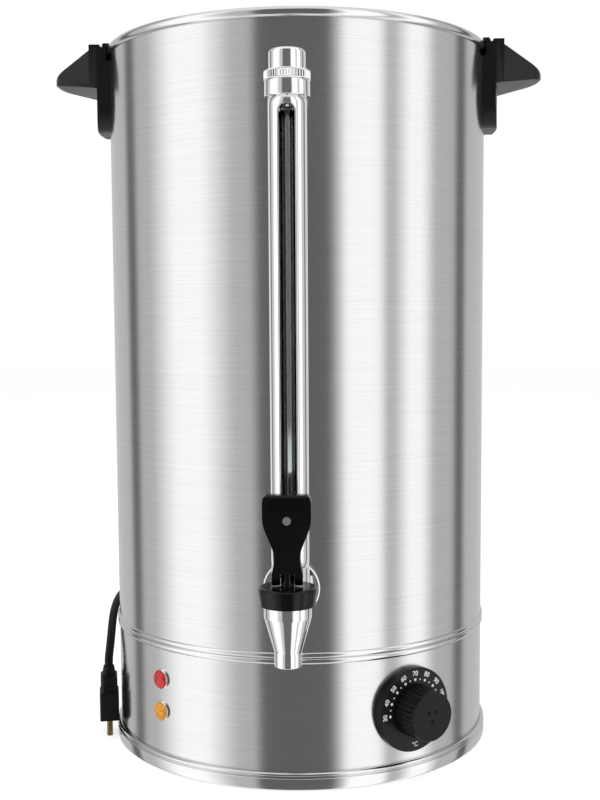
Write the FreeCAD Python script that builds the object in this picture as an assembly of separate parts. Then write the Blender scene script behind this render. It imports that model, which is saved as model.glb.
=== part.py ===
import FreeCAD, Part
import math
import os
from FreeCAD import Vector

# Hot water urn: a brushed steel tank on a base skirt, with a level gauge, a self-closing tap,
# a thermostat knob, two pilot lamps, two handles, a lift-off lid and a mains lead.
# Millimetres. The origin is the centre of the rest plane, +Z is up and the tap faces -Y.
# A fitting on the wall is drawn in front of the urn, at -Y, and turned to its bearing:
# 0 degrees is the front, and positive bearings go to +X.

# Tank and base sizes
wall_radius = 155.0
sheet = 0.8
foot_stand = 1.0
ring_height = 14.0
ring_overhang = 3.4
seam_bottom = 96.0
seam_top = 104.9
seam_bulge = 1.4
crease_height = 563.5
rim_wire = 3.75
rim_overhang = 2.5
lip_height = 7.0
floor_flange = 3.0
plate_height = 4.0

# Level gauge sizes
gauge_out = 174.0
guard_radius = 13.75
guard_wall = 1.1
slot_width = 12.0
glass_radius = 5.6
glass_bore = 4.2
collar_radius = 16.0
collar_height = 10.6
knurl_radius = 16.4
knurl_height = 7.2
knurl_count = 48
cap_radius = 13.0
cap_height = 14.3

# Tap sizes
tap_out = 215.0
arm_height = 154.0
riser_rise = 17.8
spout_drop = 41.2
spout_length = 10.1
spout_radius = 9.5
cone_length = 24.3
chamber_radius = 16.5
chamber_length = 8.2
arm_radius = 10.6
arm_bore = 3.8
flange_radius = 21.0
flange_thickness = 3.0
shank_radius = 10.0
bonnet_radius = 20.6
bonnet_base_radius = 19.3
bonnet_thickness = 13.0
post_radius = 4.6
pivot_rise = 7.6
pin_radius = 1.5
stem_radius = 2.5
stem_lift = 4.0
lever_length = 56.5
lever_half_width = 16.6
lever_waist = 8.8
lever_foot = 10.6

# Dial and lamp sizes
dial_bearing = 35.0
dial_height = 54.5
dial_radius = 32.5
dial_front = 160.5
knob_radius = 20.0
knob_length = 23.0
knob_flutes = 30
dial_screw_reach = 12.0
spindle_radius = 3.0
lamp_bearing = -42.0
lamp_heights = (72.5, 47.2)
lamp_radius = 6.2
bezel_radius = 8.0

# Handle sizes
handle_half_width = 38.0
handle_thickness = 10.5
leg_length = 57.0
leg_corner = 22.0
handle_rise = 8.0
wing_thickness = 32.0
wing_tip = 202.5
wing_root_half = 34.0
wing_tip_half = 15.0
hood_front_angle = 14.0
hood_back_angle = 31.0
rib_rise = 3.0
rib_thickness = 2.6
hood_thickness = 3.4
handle_screw_rises = (14.0, 35.0)

# Lid sizes
lid_inset = 2.35
lid_sheet = 0.8
lid_skirt_inset = 4.55
lid_skirt_depth = 12.0
lid_dome = 9.0
lid_knob_radius = 17.0
lid_knob_height = 20.0

# Lead sizes
lead_diameter = 7.0
turn_gap = 1.0
plug_width = 16.0
plug_depth = 24.0
plug_top = 51.0
plug_bottom = 14.0
plug_bearing = -78.5
gland_bearing = 160.0
gland_height = 40.0
coil_x = -34.0
coil_y = 220.0
coil_outer = 44.5
coil_start = 90.0
coil_half_turns = 8 + 1 / 3
coil_layer_turns = 2.0
hook_bearing = -105.2
hook_saddle = 105.1

# The lead's route from the gland to the coil, and from the coil across the floor
gland_path = (
    (65.667, 180.419, 40.0), (70.6, 194.0, 35.5), (74.0, 208.2, 24.5), (74.0, 221.8, 14.5),
    (70.0, 236.0, 7.0), (61.5, 248.5, 4.2), (49.0, 258.5, 3.6), (33.0, 264.0, 3.6),
    (13.0, 265.2, 3.6), (-10.0, 265.1, 3.6))
floor_path = (
    (-82.0, 225.5, 10.6), (-91.5, 208.0, 7.0), (-101.0, 190.5, 4.4), (-108.5, 172.5, 3.6))
# Then up the wall, over the hook and down to the plug: bearing, distance from the axis, height
wall_path = (
    (-143.2, 192.0, 3.6), (-137.2, 183.0, 5.0), (-131.6, 176.0, 11.5), (-127.2, 171.0, 22.5),
    (-124.0, 167.5, 37.0), (-122.1, 165.5, 54.0), (-120.5, 164.0, 71.5), (-118.0, 163.0, 88.0),
    (-114.0, 162.0, 101.0), (-108.7, 161.8, 108.5), (-103.1, 161.8, 110.0), (-97.8, 161.8, 108.5),
    (-92.9, 161.8, 105.5), (-88.3, 161.8, 101.0), (-84.1, 162.0, 94.5), (-81.0, 162.6, 85.5),
    (-79.2, 163.8, 75.0), (-78.5, 165.3, 65.0), (-78.5, 165.3, 56.0))

# Clearances
running = 0.05
fit_gap = 0.1
body_gap = 0.3

# Sizes worked out from those above
inner_radius = wall_radius - sheet
rim_centre_radius = wall_radius + rim_overhang - rim_wire
rim_centre_height = crease_height + rim_wire
rim_top = rim_centre_height + rim_wire
lid_radius = rim_centre_radius - lid_inset
lid_skirt_radius = rim_centre_radius - lid_skirt_inset
floor_height = seam_top + lip_height
leg_bottom = crease_height - leg_length
handle_top = crease_height + handle_rise
hood_top = rim_top + hood_thickness
handle_screw_heights = [leg_bottom + rise for rise in handle_screw_rises]
collar_bottom = crease_height - 59.5
slot_top = collar_bottom - 5.5
riser_top = arm_height + riser_rise
slot_bottom = riser_top + 8.2
spout_tip = arm_height - spout_drop
cone_bottom = spout_tip + spout_length
cone_top = cone_bottom + cone_length
body_top = cone_top + chamber_length
bonnet_top = body_top + bonnet_thickness
pivot_height = bonnet_top + pivot_rise
lever_top = pivot_height + lever_length
collar_top = collar_bottom + collar_height
knurl_top = collar_top + knurl_height
gauge_top = knurl_top + cap_height
head_height = collar_bottom + collar_height / 2
guard_top = collar_bottom
glass_bottom = riser_top - 13.0
glass_top = knurl_top + 6.0
seal_wire = 1.0
seal_radius = glass_radius + seal_wire
seat_height = spout_tip + 28.5
chamber_bore = chamber_radius - 4.0
spring_ceiling = bonnet_top - 6.0
well_inside = wall_radius - 55.0
well_outside = wall_radius + 65.0
well_above = rim_top + 30.0

centre = Vector(0, 0, 0)
up = Vector(0, 0, 1)
out = Vector(0, -1, 0)
side = Vector(1, 0, 0)
nodes = {}


def turned(shape, bearing):
    """The shape drawn at the front, turned about the urn's axis to its bearing."""
    copy = shape.copy()
    copy.rotate(centre, up, bearing)
    return copy


def post(radius, low, high, x=0.0, y=0.0):
    """An upright cylinder from one height to another."""
    return Part.makeCylinder(radius, high - low, Vector(x, y, low), up)


def tube(outer, inner, low, high, x=0.0, y=0.0):
    """An upright tube. The bore runs past both ends."""
    return post(outer, low, high, x, y).cut(post(inner, low - 1, high + 1, x, y))


def spigot(radius, near, far, height, x=0.0):
    """A cylinder that points out of the front, between two distances from the urn's axis."""
    return Part.makeCylinder(radius, far - near, Vector(x, -near, height), out)


def collar(outer, inner, near, far, height, x=0.0):
    """A tube that points out of the front."""
    return spigot(outer, near, far, height, x).cut(spigot(inner, near - 1, far + 1, height, x))


def block(x0, x1, y0, y1, z0, z1):
    """A box between two corners."""
    return Part.makeBox(x1 - x0, y1 - y0, z1 - z0, Vector(x0, y0, z0))


def turning(points, x=0.0, y=0.0, angle=360.0):
    """A solid turned from a closed profile of (radius, height) points about an upright axis."""
    wire = Part.makePolygon([Vector(x + r, y, z) for r, z in points + points[:1]])
    return Part.Face(wire).revolve(Vector(x, y, 0), up, angle)


def torus(major, minor, height, x=0.0, y=0.0):
    """A ring of round wire that lies flat."""
    return Part.makeTorus(major, minor, Vector(x, y, height), up)


def hexagon(across_flats, near, far, height, bore):
    """A nut that faces out of the front."""
    radius = across_flats / math.sqrt(3)
    corners = [math.radians(60 * i) for i in range(7)]
    points = [Vector(radius * math.cos(a), -near, height + radius * math.sin(a)) for a in corners]
    nut = Part.Face(Part.makePolygon(points)).extrude(out * (far - near))
    return nut.cut(spigot(bore, near - 1, far + 1, height))


def off_wall(shape):
    """Trims what is set on the outside of the wall to the wall's curve."""
    return shape.cut(post(wall_radius + fit_gap / 2, -10, rim_top + 50))


def inside_wall(shape):
    """Trims what is set inside the wall to the wall's curve."""
    return shape.common(post(inner_radius - fit_gap / 2, -10, rim_top + 50))


def on_wall(bearing, reach, height):
    """The point at a bearing, a distance from the urn's axis and a height."""
    angle = math.radians(bearing)
    return Vector(reach * math.sin(angle), -reach * math.cos(angle), height)


def fused(shapes):
    """One solid from several that overlap."""
    shapes = list(shapes)
    return shapes[0].multiFuse(shapes[1:]).removeSplitter()


def arc_mid(start, end, tangent):
    """The middle point of the arc from start to end that leaves start along the tangent."""
    chord = end - start
    along = Vector(chord).normalize()
    normal = tangent - along * tangent.dot(along)
    if normal.Length < 1e-9:
        return None
    angle = math.acos(max(-1.0, min(1.0, Vector(tangent).normalize().dot(along))))
    return (start + end) * 0.5 + normal.normalize() * (chord.Length / 2 * math.tan(angle / 2))


def arc_or_line(start, end, tangent):
    """An edge from start to end that leaves start along the tangent."""
    mid = arc_mid(start, end, tangent)
    if mid is None:
        return Part.LineSegment(start, end).toShape()
    return Part.Arc(start, mid, end).toShape()


def biarc(start, t0, end, t1):
    """Two arcs that meet smoothly and leave and reach their ends along t0 and t1."""
    t0 = Vector(t0).normalize()
    t1 = Vector(t1).normalize()
    v = end - start
    t = t0 + t1
    bend = 2 * (1 - t0.dot(t1))
    if bend < 1e-9:
        d = v.dot(v) / (4 * v.dot(t1))
    else:
        d = (-v.dot(t) + math.sqrt(v.dot(t) ** 2 + bend * v.dot(v))) / bend
    joint = (start + end + (t0 - t1) * d) * 0.5
    second = arc_or_line(end, joint, t1 * -1)
    return [arc_or_line(start, joint, t0), second]


def wound(point, tangent, steps, radius):
    """A round wire swept along the curve point(s), s from 0 to 1, with a biarc per step."""
    edges = []
    for i in range(steps):
        a, b = i / steps, (i + 1) / steps
        edges += biarc(point(a), tangent(a), point(b), tangent(b))
    path = Part.Wire(Part.__sortEdges__(edges))
    ring = Part.Wire(Part.Circle(point(0), tangent(0), radius).toShape())
    solid = path.makePipeShell([ring], True, False)
    return solid, path.Length


def routed(points, diameter, name):
    """A tube along straight runs joined by tangent arcs, with its radii printed."""
    edges = []
    radii = []
    last = points[0]
    for before, here, after in zip(points, points[1:], points[2:]):
        a = (before - here)
        b = (after - here)
        shorter = min(a.Length, b.Length)
        ua, ub = Vector(a).normalize(), Vector(b).normalize()
        half_turn = (math.pi - ua.getAngle(ub)) / 2
        setback = 0.45 * shorter
        radius = setback / math.tan(half_turn)
        start, end = here + ua * setback, here + ub * setback
        bisector = (ua + ub).normalize()
        mid = here + bisector * (radius / math.cos(half_turn) - radius)
        if (start - last).Length > 1e-6:
            edges.append(Part.LineSegment(last, start).toShape())
        edges.append(Part.Arc(start, mid, end).toShape())
        radii.append(round(radius, 1))
        last = end
    edges.append(Part.LineSegment(last, points[-1]).toShape())
    path = Part.Wire(edges)
    ring = Part.Wire(Part.Circle(points[0], points[1] - points[0], diameter / 2).toShape())
    solid = path.makePipeShell([ring], True, False)
    share = solid.Volume / (math.pi * diameter ** 2 / 4 * path.Length)
    print(name, "length", round(path.Length, 1), "volume share", round(share, 4), "radii", radii)
    return solid, path.Length


def tank():
    """Tank wall with its rolled rim, and the floor pressed into it."""
    wall = tube(wall_radius, inner_radius, seam_top, crease_height + 1.5)
    curl = torus(rim_centre_radius, rim_wire, rim_centre_height)
    curl = curl.cut(torus(rim_centre_radius, rim_wire - sheet, rim_centre_height))
    mouth = tube(rim_centre_radius - 1.5, rim_centre_radius - rim_wire - 1,
                 crease_height - 1, crease_height + 1.6)
    wall = wall.fuse(curl.cut(mouth))
    wall = wall.cut(spigot(shank_radius + body_gap, inner_radius - 5, wall_radius + 5, arm_height))
    wall = wall.cut(spigot(4.2, inner_radius - 5, wall_radius + 5, head_height))
    for bearing in (-90, 90):
        for height in handle_screw_heights:
            hole = spigot(2.7, inner_radius - 5, wall_radius + 5, height)
            wall = wall.cut(turned(hole, bearing))
    nodes["tank_wall"] = wall
    nodes["tank_floor"] = fused([
        post(inner_radius - fit_gap, floor_height, floor_height + 1.0),
        tube(inner_radius - fit_gap, inner_radius - 1.0, floor_height, floor_height + floor_flange)])


def base():
    """Skirt with its seam bead and lip, bottom ring, bottom plate and feet."""
    skirt = tube(wall_radius, inner_radius, foot_stand + 1.0, seam_bottom)
    middle = (seam_bottom + seam_top) / 2
    edges = []
    for inset in (0.0, sheet):
        low = Vector(wall_radius - inset, 0, seam_bottom)
        high = Vector(wall_radius - inset, 0, seam_top)
        bulge = Vector(wall_radius + seam_bulge - inset, 0, middle)
        edges.append(Part.Arc(low, bulge, high).toShape())
    for height in (seam_bottom, seam_top):
        edges.append(Part.LineSegment(Vector(inner_radius, 0, height),
                                      Vector(wall_radius, 0, height)).toShape())
    bead = Part.Face(Part.Wire(Part.__sortEdges__(edges))).revolve(centre, up, 360)
    lip_radius = inner_radius - fit_gap
    shelf = tube(wall_radius, lip_radius - sheet, seam_top - sheet, seam_top)
    lip = tube(lip_radius, lip_radius - sheet, seam_top - sheet, floor_height)
    skirt = fused([skirt, bead, shelf, lip])
    for height in lamp_heights:
        hole = spigot(lamp_radius + fit_gap, inner_radius - 5, wall_radius + 5, height)
        skirt = skirt.cut(turned(hole, lamp_bearing))
    for x, radius in ((0.0, 5.0), (-dial_screw_reach, 2.2), (dial_screw_reach, 2.2)):
        hole = spigot(radius, inner_radius - 12, wall_radius + 5, dial_height, x)
        skirt = skirt.cut(turned(hole, dial_bearing))
    skirt = skirt.cut(turned(spigot(6.2, inner_radius - 5, wall_radius + 5, gland_height), gland_bearing))
    nodes["base_skirt"] = skirt
    ring_outer = wall_radius + ring_overhang
    ring_inner = wall_radius + fit_gap
    bead_low = ring_height - 3.2
    nodes["bottom_ring"] = turning([
        (ring_inner, foot_stand), (ring_outer - 1.2, foot_stand), (ring_outer, foot_stand + 1.2),
        (ring_outer, bead_low - 0.9), (ring_outer - 1.4, bead_low - 0.3),
        (ring_outer - 1.4, bead_low), (ring_outer - 0.5, bead_low + 0.5),
        (ring_outer - 0.2, bead_low + 1.6), (ring_outer - 0.6, bead_low + 2.7),
        (ring_outer - 1.6, ring_height), (ring_inner, ring_height)])
    plate_radius = inner_radius - fit_gap
    plate = fused([
        post(plate_radius, plate_height, plate_height + 1.0),
        tube(plate_radius, plate_radius - 1.0, plate_height, plate_height + 12)])
    for i in range(12):
        for reach in (55.0, 72.0):
            vent = post(3.0, plate_height - 1, plate_height + 2, reach)
            plate = plate.cut(turned(vent, 30 * i))
    feet, screws, nuts = [], [], []
    for bearing in (45, 135, 225, 315):
        place = Vector(0, -122, 0)
        foot = Part.makeCone(11, 13, plate_height, place, up)
        foot = foot.cut(post(5.2, -1, 2.0, 0, -122)).cut(post(2.1, -1, 9, 0, -122))
        screw = fused([post(4.2, 0.6, 2.0, 0, -122), post(2.0, 1.0, 11, 0, -122)])
        hole = turned(post(2.2, plate_height - 1, plate_height + 2, 0, -122), bearing)
        plate = plate.cut(hole)
        feet.append(turned(foot, bearing))
        screws.append(turned(screw, bearing))
        nuts.append(turned(tube(4.0, 2.05, plate_height + 1, plate_height + 4, 0, -122), bearing))
    nodes["bottom_plate"] = plate
    nodes["rubber_feet"] = Part.makeCompound(feet)
    nodes["foot_screws"] = Part.makeCompound(screws)
    nodes["foot_nuts"] = Part.makeCompound(nuts)


def heater():
    """Heating ring under the tank floor, its pressure plate and stud, and the safety cutout."""
    tube_radius = 4.2
    ring_radius = 78.0
    tube_height = floor_height - tube_radius
    circle = Part.Circle(Vector(ring_radius, 0, tube_height), Vector(0, 1, 0), tube_radius)
    ring = Part.Face(Part.Wire(circle.toShape())).revolve(centre, up, 320)
    ring.rotate(centre, up, 110)
    ends = []
    for bearing in (110, 70):
        angle = math.radians(bearing)
        x, y = ring_radius * math.cos(angle), ring_radius * math.sin(angle)
        ends.append(post(tube_radius, tube_height - 24, tube_height, x, y))
        ends.append(post(1.6, tube_height - 34, tube_height - 24, x, y))
    nodes["heating_ring"] = fused([ring] + ends)
    plate_top = tube_height - tube_radius
    plate = tube(90, 12, plate_top - 1.5, plate_top)
    web = tube(14, 3.3, plate_top - 1.5, plate_top)
    plate = fused([plate, web])
    for bearing in (110, 70):
        angle = math.radians(bearing)
        x, y = ring_radius * math.cos(angle), ring_radius * math.sin(angle)
        plate = plate.cut(post(tube_radius + 1.5, plate_top - 5, plate_top + 5, x, y))
    nodes["pressure_plate"] = plate
    nodes["floor_stud"] = post(3.0, plate_top - 12, floor_height)
    nodes["stud_nut"] = tube(5.5, 3.05, plate_top - 6.5, plate_top - 1.5)
    cutout = fused([
        post(12, floor_height - 6, floor_height, 0, 120), post(8, floor_height - 14, floor_height - 5, 0, 120),
        block(-5, -4.2, 117, 123, floor_height - 24, floor_height - 13),
        block(4.2, 5, 117, 123, floor_height - 24, floor_height - 13)])
    nodes["dry_boil_cutout"] = cutout


def thermostat():
    """Scale plate, knob and spindle outside the skirt; body, capillary and bulb inside it."""
    z = dial_height
    screw_places = (-dial_screw_reach, dial_screw_reach)
    plate = off_wall(spigot(dial_radius, wall_radius - 5, dial_front, z))
    rim_edge = Part.makeCone(dial_radius - 1.0, dial_radius, 1.0, Vector(0, -dial_front, z), out * -1)
    plate = plate.common(fused([rim_edge, spigot(dial_radius, 100, dial_front - 1.0, z)]))
    plate = plate.cut(spigot(4.8, 100, 200, z))
    for x in screw_places:
        plate = plate.cut(spigot(2.1, 100, 200, z, x))
    nodes["dial_plate"] = turned(plate, dial_bearing)
    low = dial_front + 0.8
    high = low + knob_length
    knob = Part.makeCone(knob_radius, knob_radius - 1.6, knob_length, Vector(0, -low, z), out)
    flutes = []
    for i in range(knob_flutes):
        angle = 2 * math.pi * i / knob_flutes
        x = (knob_radius + 0.3) * math.cos(angle)
        flutes.append(spigot(1.1, low - 1, high - 2.5, z + (knob_radius + 0.3) * math.sin(angle), x))
    knob = knob.cut(Part.makeCompound(flutes))
    knob = knob.cut(spigot(knob_radius - 3.0, low - 1, low + 5, z))
    shaft_end = low + 15.0
    knob = knob.cut(spigot(spindle_radius + running, low - 1, shaft_end, z))
    for x, dz in ((-3.2, 3.4), (3.2, 3.4), (0.0, -3.6)):
        knob = knob.cut(spigot(1.3, high - 1.0, high + 1, z + dz, x))
    nodes["dial_knob"] = turned(knob, dial_bearing)
    nodes["thermostat_spindle"] = turned(spigot(spindle_radius, 132, shaft_end - 0.3, z), dial_bearing)
    case_front = inner_radius - 5.0
    case = block(-21, 21, -case_front, -case_front + 30, z - 17, z + 17)
    bush = spigot(4.6, case_front - 1, dial_front - 0.4, z)
    tabs = []
    for x in (-12, 0, 12):
        tabs.append(block(x - 3, x + 3, -case_front + 29, -case_front + 37, z + 8, z + 8.8))
    case = fused([case, bush] + tabs).cut(spigot(spindle_radius + running, 124, 200, z))
    for x in screw_places:
        case = case.cut(spigot(2.05, case_front - 8, 200, z, x))
    nodes["thermostat_body"] = turned(case, dial_bearing)
    screws = []
    for x in screw_places:
        screws.append(turned(fused([spigot(2.0, case_front - 7, dial_front + 1, z, x),
                                    spigot(3.8, dial_front, dial_front + 1.6, z, x)]), dial_bearing))
    nodes["thermostat_screws"] = Part.makeCompound(screws)
    bulb_height = floor_height - 3.0
    bulb = Part.makeCylinder(3.0, 60, Vector(-30, -112, bulb_height), side)
    nodes["sensor_bulb"] = bulb
    start = turned(Part.Vertex(Vector(15, -case_front + 30, z + 12)), dial_bearing).Point
    inward = on_wall(dial_bearing, -1, 0)
    route = [start, start + inward * 8, start + inward * 16 + up * 9, Vector(60, -96, 96),
             Vector(50, -108, 106), Vector(40, -112, bulb_height), Vector(30, -112, bulb_height)]
    nodes["capillary"] = routed(route, 2.0, "capillary")[0]


def lamps():
    """Two pilot lamps: lens and bezel outside, holder and nut inside."""
    bezels, holders, lamp_nuts = [], [], []
    for name, z in zip(("heat_lamp_lens", "warm_lamp_lens"), lamp_heights):
        bezel = fused([Part.makeCone(bezel_radius, bezel_radius - 1.2, 2.6,
                                     Vector(0, -wall_radius, z), out),
                       spigot(bezel_radius, wall_radius - 2, wall_radius, z)])
        bezel = off_wall(bezel).cut(spigot(lamp_radius, 100, 200, z))
        bezels.append(turned(bezel, lamp_bearing))
        front = wall_radius + 2.0
        dome = Part.makeSphere(9.0, Vector(0, -front + 5.6, z))
        dome = dome.common(spigot(lamp_radius - 0.2, front - 1, front + 8, z))
        lens = fused([spigot(lamp_radius - 0.2, wall_radius - 14, front, z), dome])
        nodes[name] = turned(lens, lamp_bearing)
        holder = fused([spigot(7.0, wall_radius - 34, wall_radius - 14, z),
                        block(-4, -3.2, -(wall_radius - 34), -(wall_radius - 44), z - 2.4, z + 2.4),
                        block(3.2, 4, -(wall_radius - 34), -(wall_radius - 44), z - 2.4, z + 2.4)])
        holders.append(turned(holder, lamp_bearing))
        nut = inside_wall(collar(9.0, lamp_radius, wall_radius - 5, wall_radius, z))
        lamp_nuts.append(turned(nut, lamp_bearing))
    nodes["lamp_bezels"] = Part.makeCompound(bezels)
    nodes["lamp_holders"] = Part.makeCompound(holders)
    nodes["lamp_nuts"] = Part.makeCompound(lamp_nuts)


def gauge():
    """Level gauge in front of the wall: glass tube in a slotted guard, held at its head."""
    y = -gauge_out
    guard = tube(guard_radius, guard_radius - guard_wall, riser_top, guard_top, 0, y)
    half = slot_width / 2
    slot = fused([
        block(-half, half, y - guard_radius - 5, y, slot_bottom + half, slot_top - half),
        Part.makeCylinder(half, guard_radius + 5, Vector(0, y, slot_top - half), out),
        Part.makeCylinder(half, guard_radius + 5, Vector(0, y, slot_bottom + half), out)])
    nodes["gauge_guard"] = guard.cut(slot)
    nodes["gauge_glass"] = tube(glass_radius, glass_bore, glass_bottom, glass_top, 0, y)
    ring = post(collar_radius, collar_bottom, collar_top, 0, y)
    arm_near = wall_radius + 1.6
    arm_far = gauge_out - glass_radius - 2.0
    head = fused([ring, spigot(collar_height / 2 - 0.2, arm_near, arm_far, head_height),
                  spigot(4.0, inner_radius - 14, arm_far, head_height)])
    head = head.cut(post(glass_radius + fit_gap, collar_bottom - 1, collar_top + 1, 0, y))
    nodes["gauge_head"] = head
    nodes["gauge_head_seal"] = off_wall(collar(8.0, 4.1, wall_radius - 2, arm_near, head_height))
    washer_near = inner_radius - 3.0
    nodes["gauge_head_washer"] = inside_wall(collar(9.0, 4.1, washer_near, wall_radius, head_height))
    nodes["gauge_head_nut"] = hexagon(13, washer_near - 6, washer_near, head_height, 4.05)
    knurl = tube(knurl_radius, glass_radius + fit_gap, collar_top, knurl_top, 0, y)
    groove_low = collar_top
    knurl = knurl.cut(tube(seal_radius + seal_wire + fit_gap, glass_radius, groove_low, groove_low + 2.2, 0, y))
    cuts = []
    for i in range(knurl_count):
        angle = 2 * math.pi * i / knurl_count
        reach = knurl_radius + 0.25
        cuts.append(post(0.7, collar_top + 1.2, knurl_top - 1.2,
                         reach * math.cos(angle), y + reach * math.sin(angle)))
    nodes["gauge_knurled_ring"] = knurl.cut(Part.makeCompound(cuts))
    cap = post(cap_radius, knurl_top, gauge_top, 0, y)
    top_edges = [e for e in cap.Edges if e.BoundBox.ZMin > gauge_top - 0.01]
    cap = cap.makeFillet(1.2, top_edges)
    button = Part.makeSphere(9.0, Vector(0, y, gauge_top - 7.4)).common(post(5.2, gauge_top - 1, gauge_top + 5, 0, y))
    cap = cap.fuse(button).cut(post(glass_radius + fit_gap, knurl_top - 1, glass_top + 2, 0, y))
    nodes["gauge_cap"] = cap
    rings = [torus(seal_radius, seal_wire, riser_top - 2.2, 0, y),
             torus(seal_radius, seal_wire, groove_low + 1.1, 0, y)]
    nodes["gauge_seals"] = Part.makeCompound(rings)


def tap():
    """Self-closing tap: body and bonnet fixed, lever on a pin, stem with its seat cup."""
    y = -tap_out
    gy = -gauge_out
    body = turning([(0.001, spout_tip), (spout_radius, spout_tip), (spout_radius, cone_bottom),
                    (chamber_radius, cone_top), (chamber_radius, body_top), (0.001, body_top)], 0, y)
    arm_near = wall_radius + 1.6
    arm = spigot(arm_radius, arm_near, tap_out, arm_height)
    arm = arm.cut(post(bonnet_radius + 1.0, body_top, body_top + 30, 0, y))
    riser_foot = Part.makeSphere(guard_radius, Vector(0, gy, arm_height))
    riser = post(guard_radius, arm_height, riser_top, 0, gy)
    flange = spigot(flange_radius, arm_near, arm_near + flange_thickness, arm_height)
    shank = spigot(shank_radius, inner_radius - 20, wall_radius + 5, arm_height)
    body = fused([body, arm, riser_foot.common(post(guard_radius, 100, arm_height, 0, gy)), riser, flange, shank])
    bore_height = body_top - arm_bore - 1.4
    body = body.cut(post(spout_radius - 2.2, spout_tip - 1, seat_height - 3, 0, y))
    body = body.cut(post(5.0, spout_tip, seat_height + 1, 0, y))
    body = body.cut(post(chamber_bore, seat_height, body_top + 1, 0, y))
    body = body.cut(spigot(arm_bore, inner_radius - 25, tap_out, bore_height))
    body = body.cut(post(3.0, bore_height, glass_bottom + 1, 0, gy))
    body = body.cut(post(glass_radius + fit_gap, glass_bottom, riser_top + 1, 0, gy))
    body = body.cut(post(seal_radius + seal_wire + fit_gap, riser_top - 3.3, riser_top + 1, 0, gy))
    nodes["tap_body"] = body
    nodes["tap_wall_seal"] = off_wall(collar(flange_radius - 1.5, shank_radius + fit_gap,
                                             wall_radius - 5, arm_near, arm_height))
    washer_near = inner_radius - 4.5
    nodes["tap_inner_seal"] = inside_wall(collar(16, shank_radius + fit_gap, washer_near,
                                                 wall_radius, arm_height))
    nodes["tap_shank_nut"] = hexagon(27, washer_near - 8, washer_near, arm_height, shank_radius + fit_gap)
    bonnet = turning([
        (stem_radius + fit_gap, pivot_height + 5.6), (post_radius, pivot_height + 5.6),
        (post_radius, bonnet_top), (bonnet_radius - 1.6, bonnet_top),
        (bonnet_radius, bonnet_top - 1.8), (bonnet_base_radius, body_top),
        (8.6, body_top), (8.6, spring_ceiling), (stem_radius + fit_gap, spring_ceiling)], 0, y)
    pin_hole = Part.makeCylinder(pin_radius + fit_gap, 20, Vector(-10, y, pivot_height), side)
    nodes["tap_bonnet"] = bonnet.cut(pin_hole)
    nodes["lever_pin"] = Part.makeCylinder(pin_radius, 2 * lever_foot - 1.0,
                                           Vector(-lever_foot + 0.5, y, pivot_height), side)
    foot_radius = pivot_height - bonnet_top - 0.7
    waist_height = pivot_height + 12.5
    shoulder_height = lever_top - 16.5
    widths = [(lever_foot, pivot_height - foot_radius), (lever_foot, pivot_height + 2),
              (lever_waist + 0.5, pivot_height + 8)]
    for i in range(9):
        t = i / 8
        swell = t * t * (3 - 2 * t)
        widths.append((lever_waist + (lever_half_width - lever_waist) * swell,
                       waist_height + (shoulder_height - waist_height) * t))
    widths += [(lever_half_width, lever_top - 5), (lever_half_width - 0.7, lever_top - 1.8),
               (lever_half_width - 2.6, lever_top)]
    outline = [Vector(x, y - 20, z) for x, z in widths]
    outline += [Vector(-x, y - 20, z) for x, z in reversed(widths)]
    front_view = Part.Face(Part.makePolygon(outline + outline[:1])).extrude(Vector(0, 40, 0))
    depths = [(-foot_radius, pivot_height), (-7.0, pivot_height + 14), (-8.6, lever_top - 12),
              (-9.6, lever_top - 1.5), (-8.4, lever_top), (-0.5, lever_top),
              (0.6, lever_top - 14), (5.2, pivot_height + 16), (foot_radius, pivot_height)]
    outline = [Vector(-30, y + dy, z) for dy, z in depths]
    foot = Part.makeCylinder(foot_radius, 60, Vector(-30, y, pivot_height), side)
    side_view = Part.Face(Part.makePolygon(outline + outline[:1])).extrude(Vector(60, 0, 0)).fuse(foot)
    lever = front_view.common(side_view)
    fork = post_radius + body_gap + 0.1
    lever = lever.cut(block(-fork, fork, y - 20, y + 20, pivot_height - 20, pivot_height + 1.5))
    lever = lever.cut(block(-fork, fork, y - 5.2, y + 20, pivot_height, pivot_height + 9.4))
    lever = lever.cut(Part.makeCylinder(pin_radius, 60, Vector(-30, y, pivot_height), side))
    lever = lever.cut(block(-11.5, 11.5, y - 20, y - 7.2, lever_top - 10.5, lever_top - 3.6))
    screw_height = lever_top - 17.8
    lever = lever.cut(spigot(3.9, tap_out + 7.0, tap_out + 20, screw_height))
    lever = lever.cut(spigot(1.5, tap_out - 1, tap_out + 20, screw_height))
    nodes["tap_lever"] = lever.removeSplitter()
    nodes["lever_screw"] = fused([spigot(1.5, tap_out, tap_out + 7.2, screw_height),
                                  spigot(2.9, tap_out + 7.0, tap_out + 8.4, screw_height)])
    cup_top = seat_height + 8.0
    stem = fused([post(stem_radius, seat_height + 3.5, pivot_height + 3, 0, y),
                  post(7.5, cup_top, cup_top + 2, 0, y)])
    stem_slot = block(-10, 10, y - 1.8, y + 1.8, pivot_height - stem_lift - 2.0, pivot_height + 1.8)
    nodes["tap_stem"] = stem.cut(stem_slot)
    cup = post(7.5, seat_height + body_gap, cup_top, 0, y)
    nodes["tap_seat_cup"] = cup.cut(post(stem_radius, seat_height + 3.5, cup_top + 1, 0, y))
    wire, turns, coil_radius = 0.55, 4, 5.4
    low, high = cup_top + 2.0 + wire + 0.05, spring_ceiling - wire - 0.05

    def place(s):
        angle = 2 * math.pi * turns * s
        return Vector(coil_radius * math.cos(angle), y + coil_radius * math.sin(angle),
                      low + (high - low) * s)

    def heading(s):
        angle = 2 * math.pi * turns * s
        run = 2 * math.pi * turns * coil_radius
        return Vector(-run * math.sin(angle), run * math.cos(angle), high - low)

    nodes["tap_spring"] = wound(place, heading, turns * 4, wire)[0]


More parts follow.
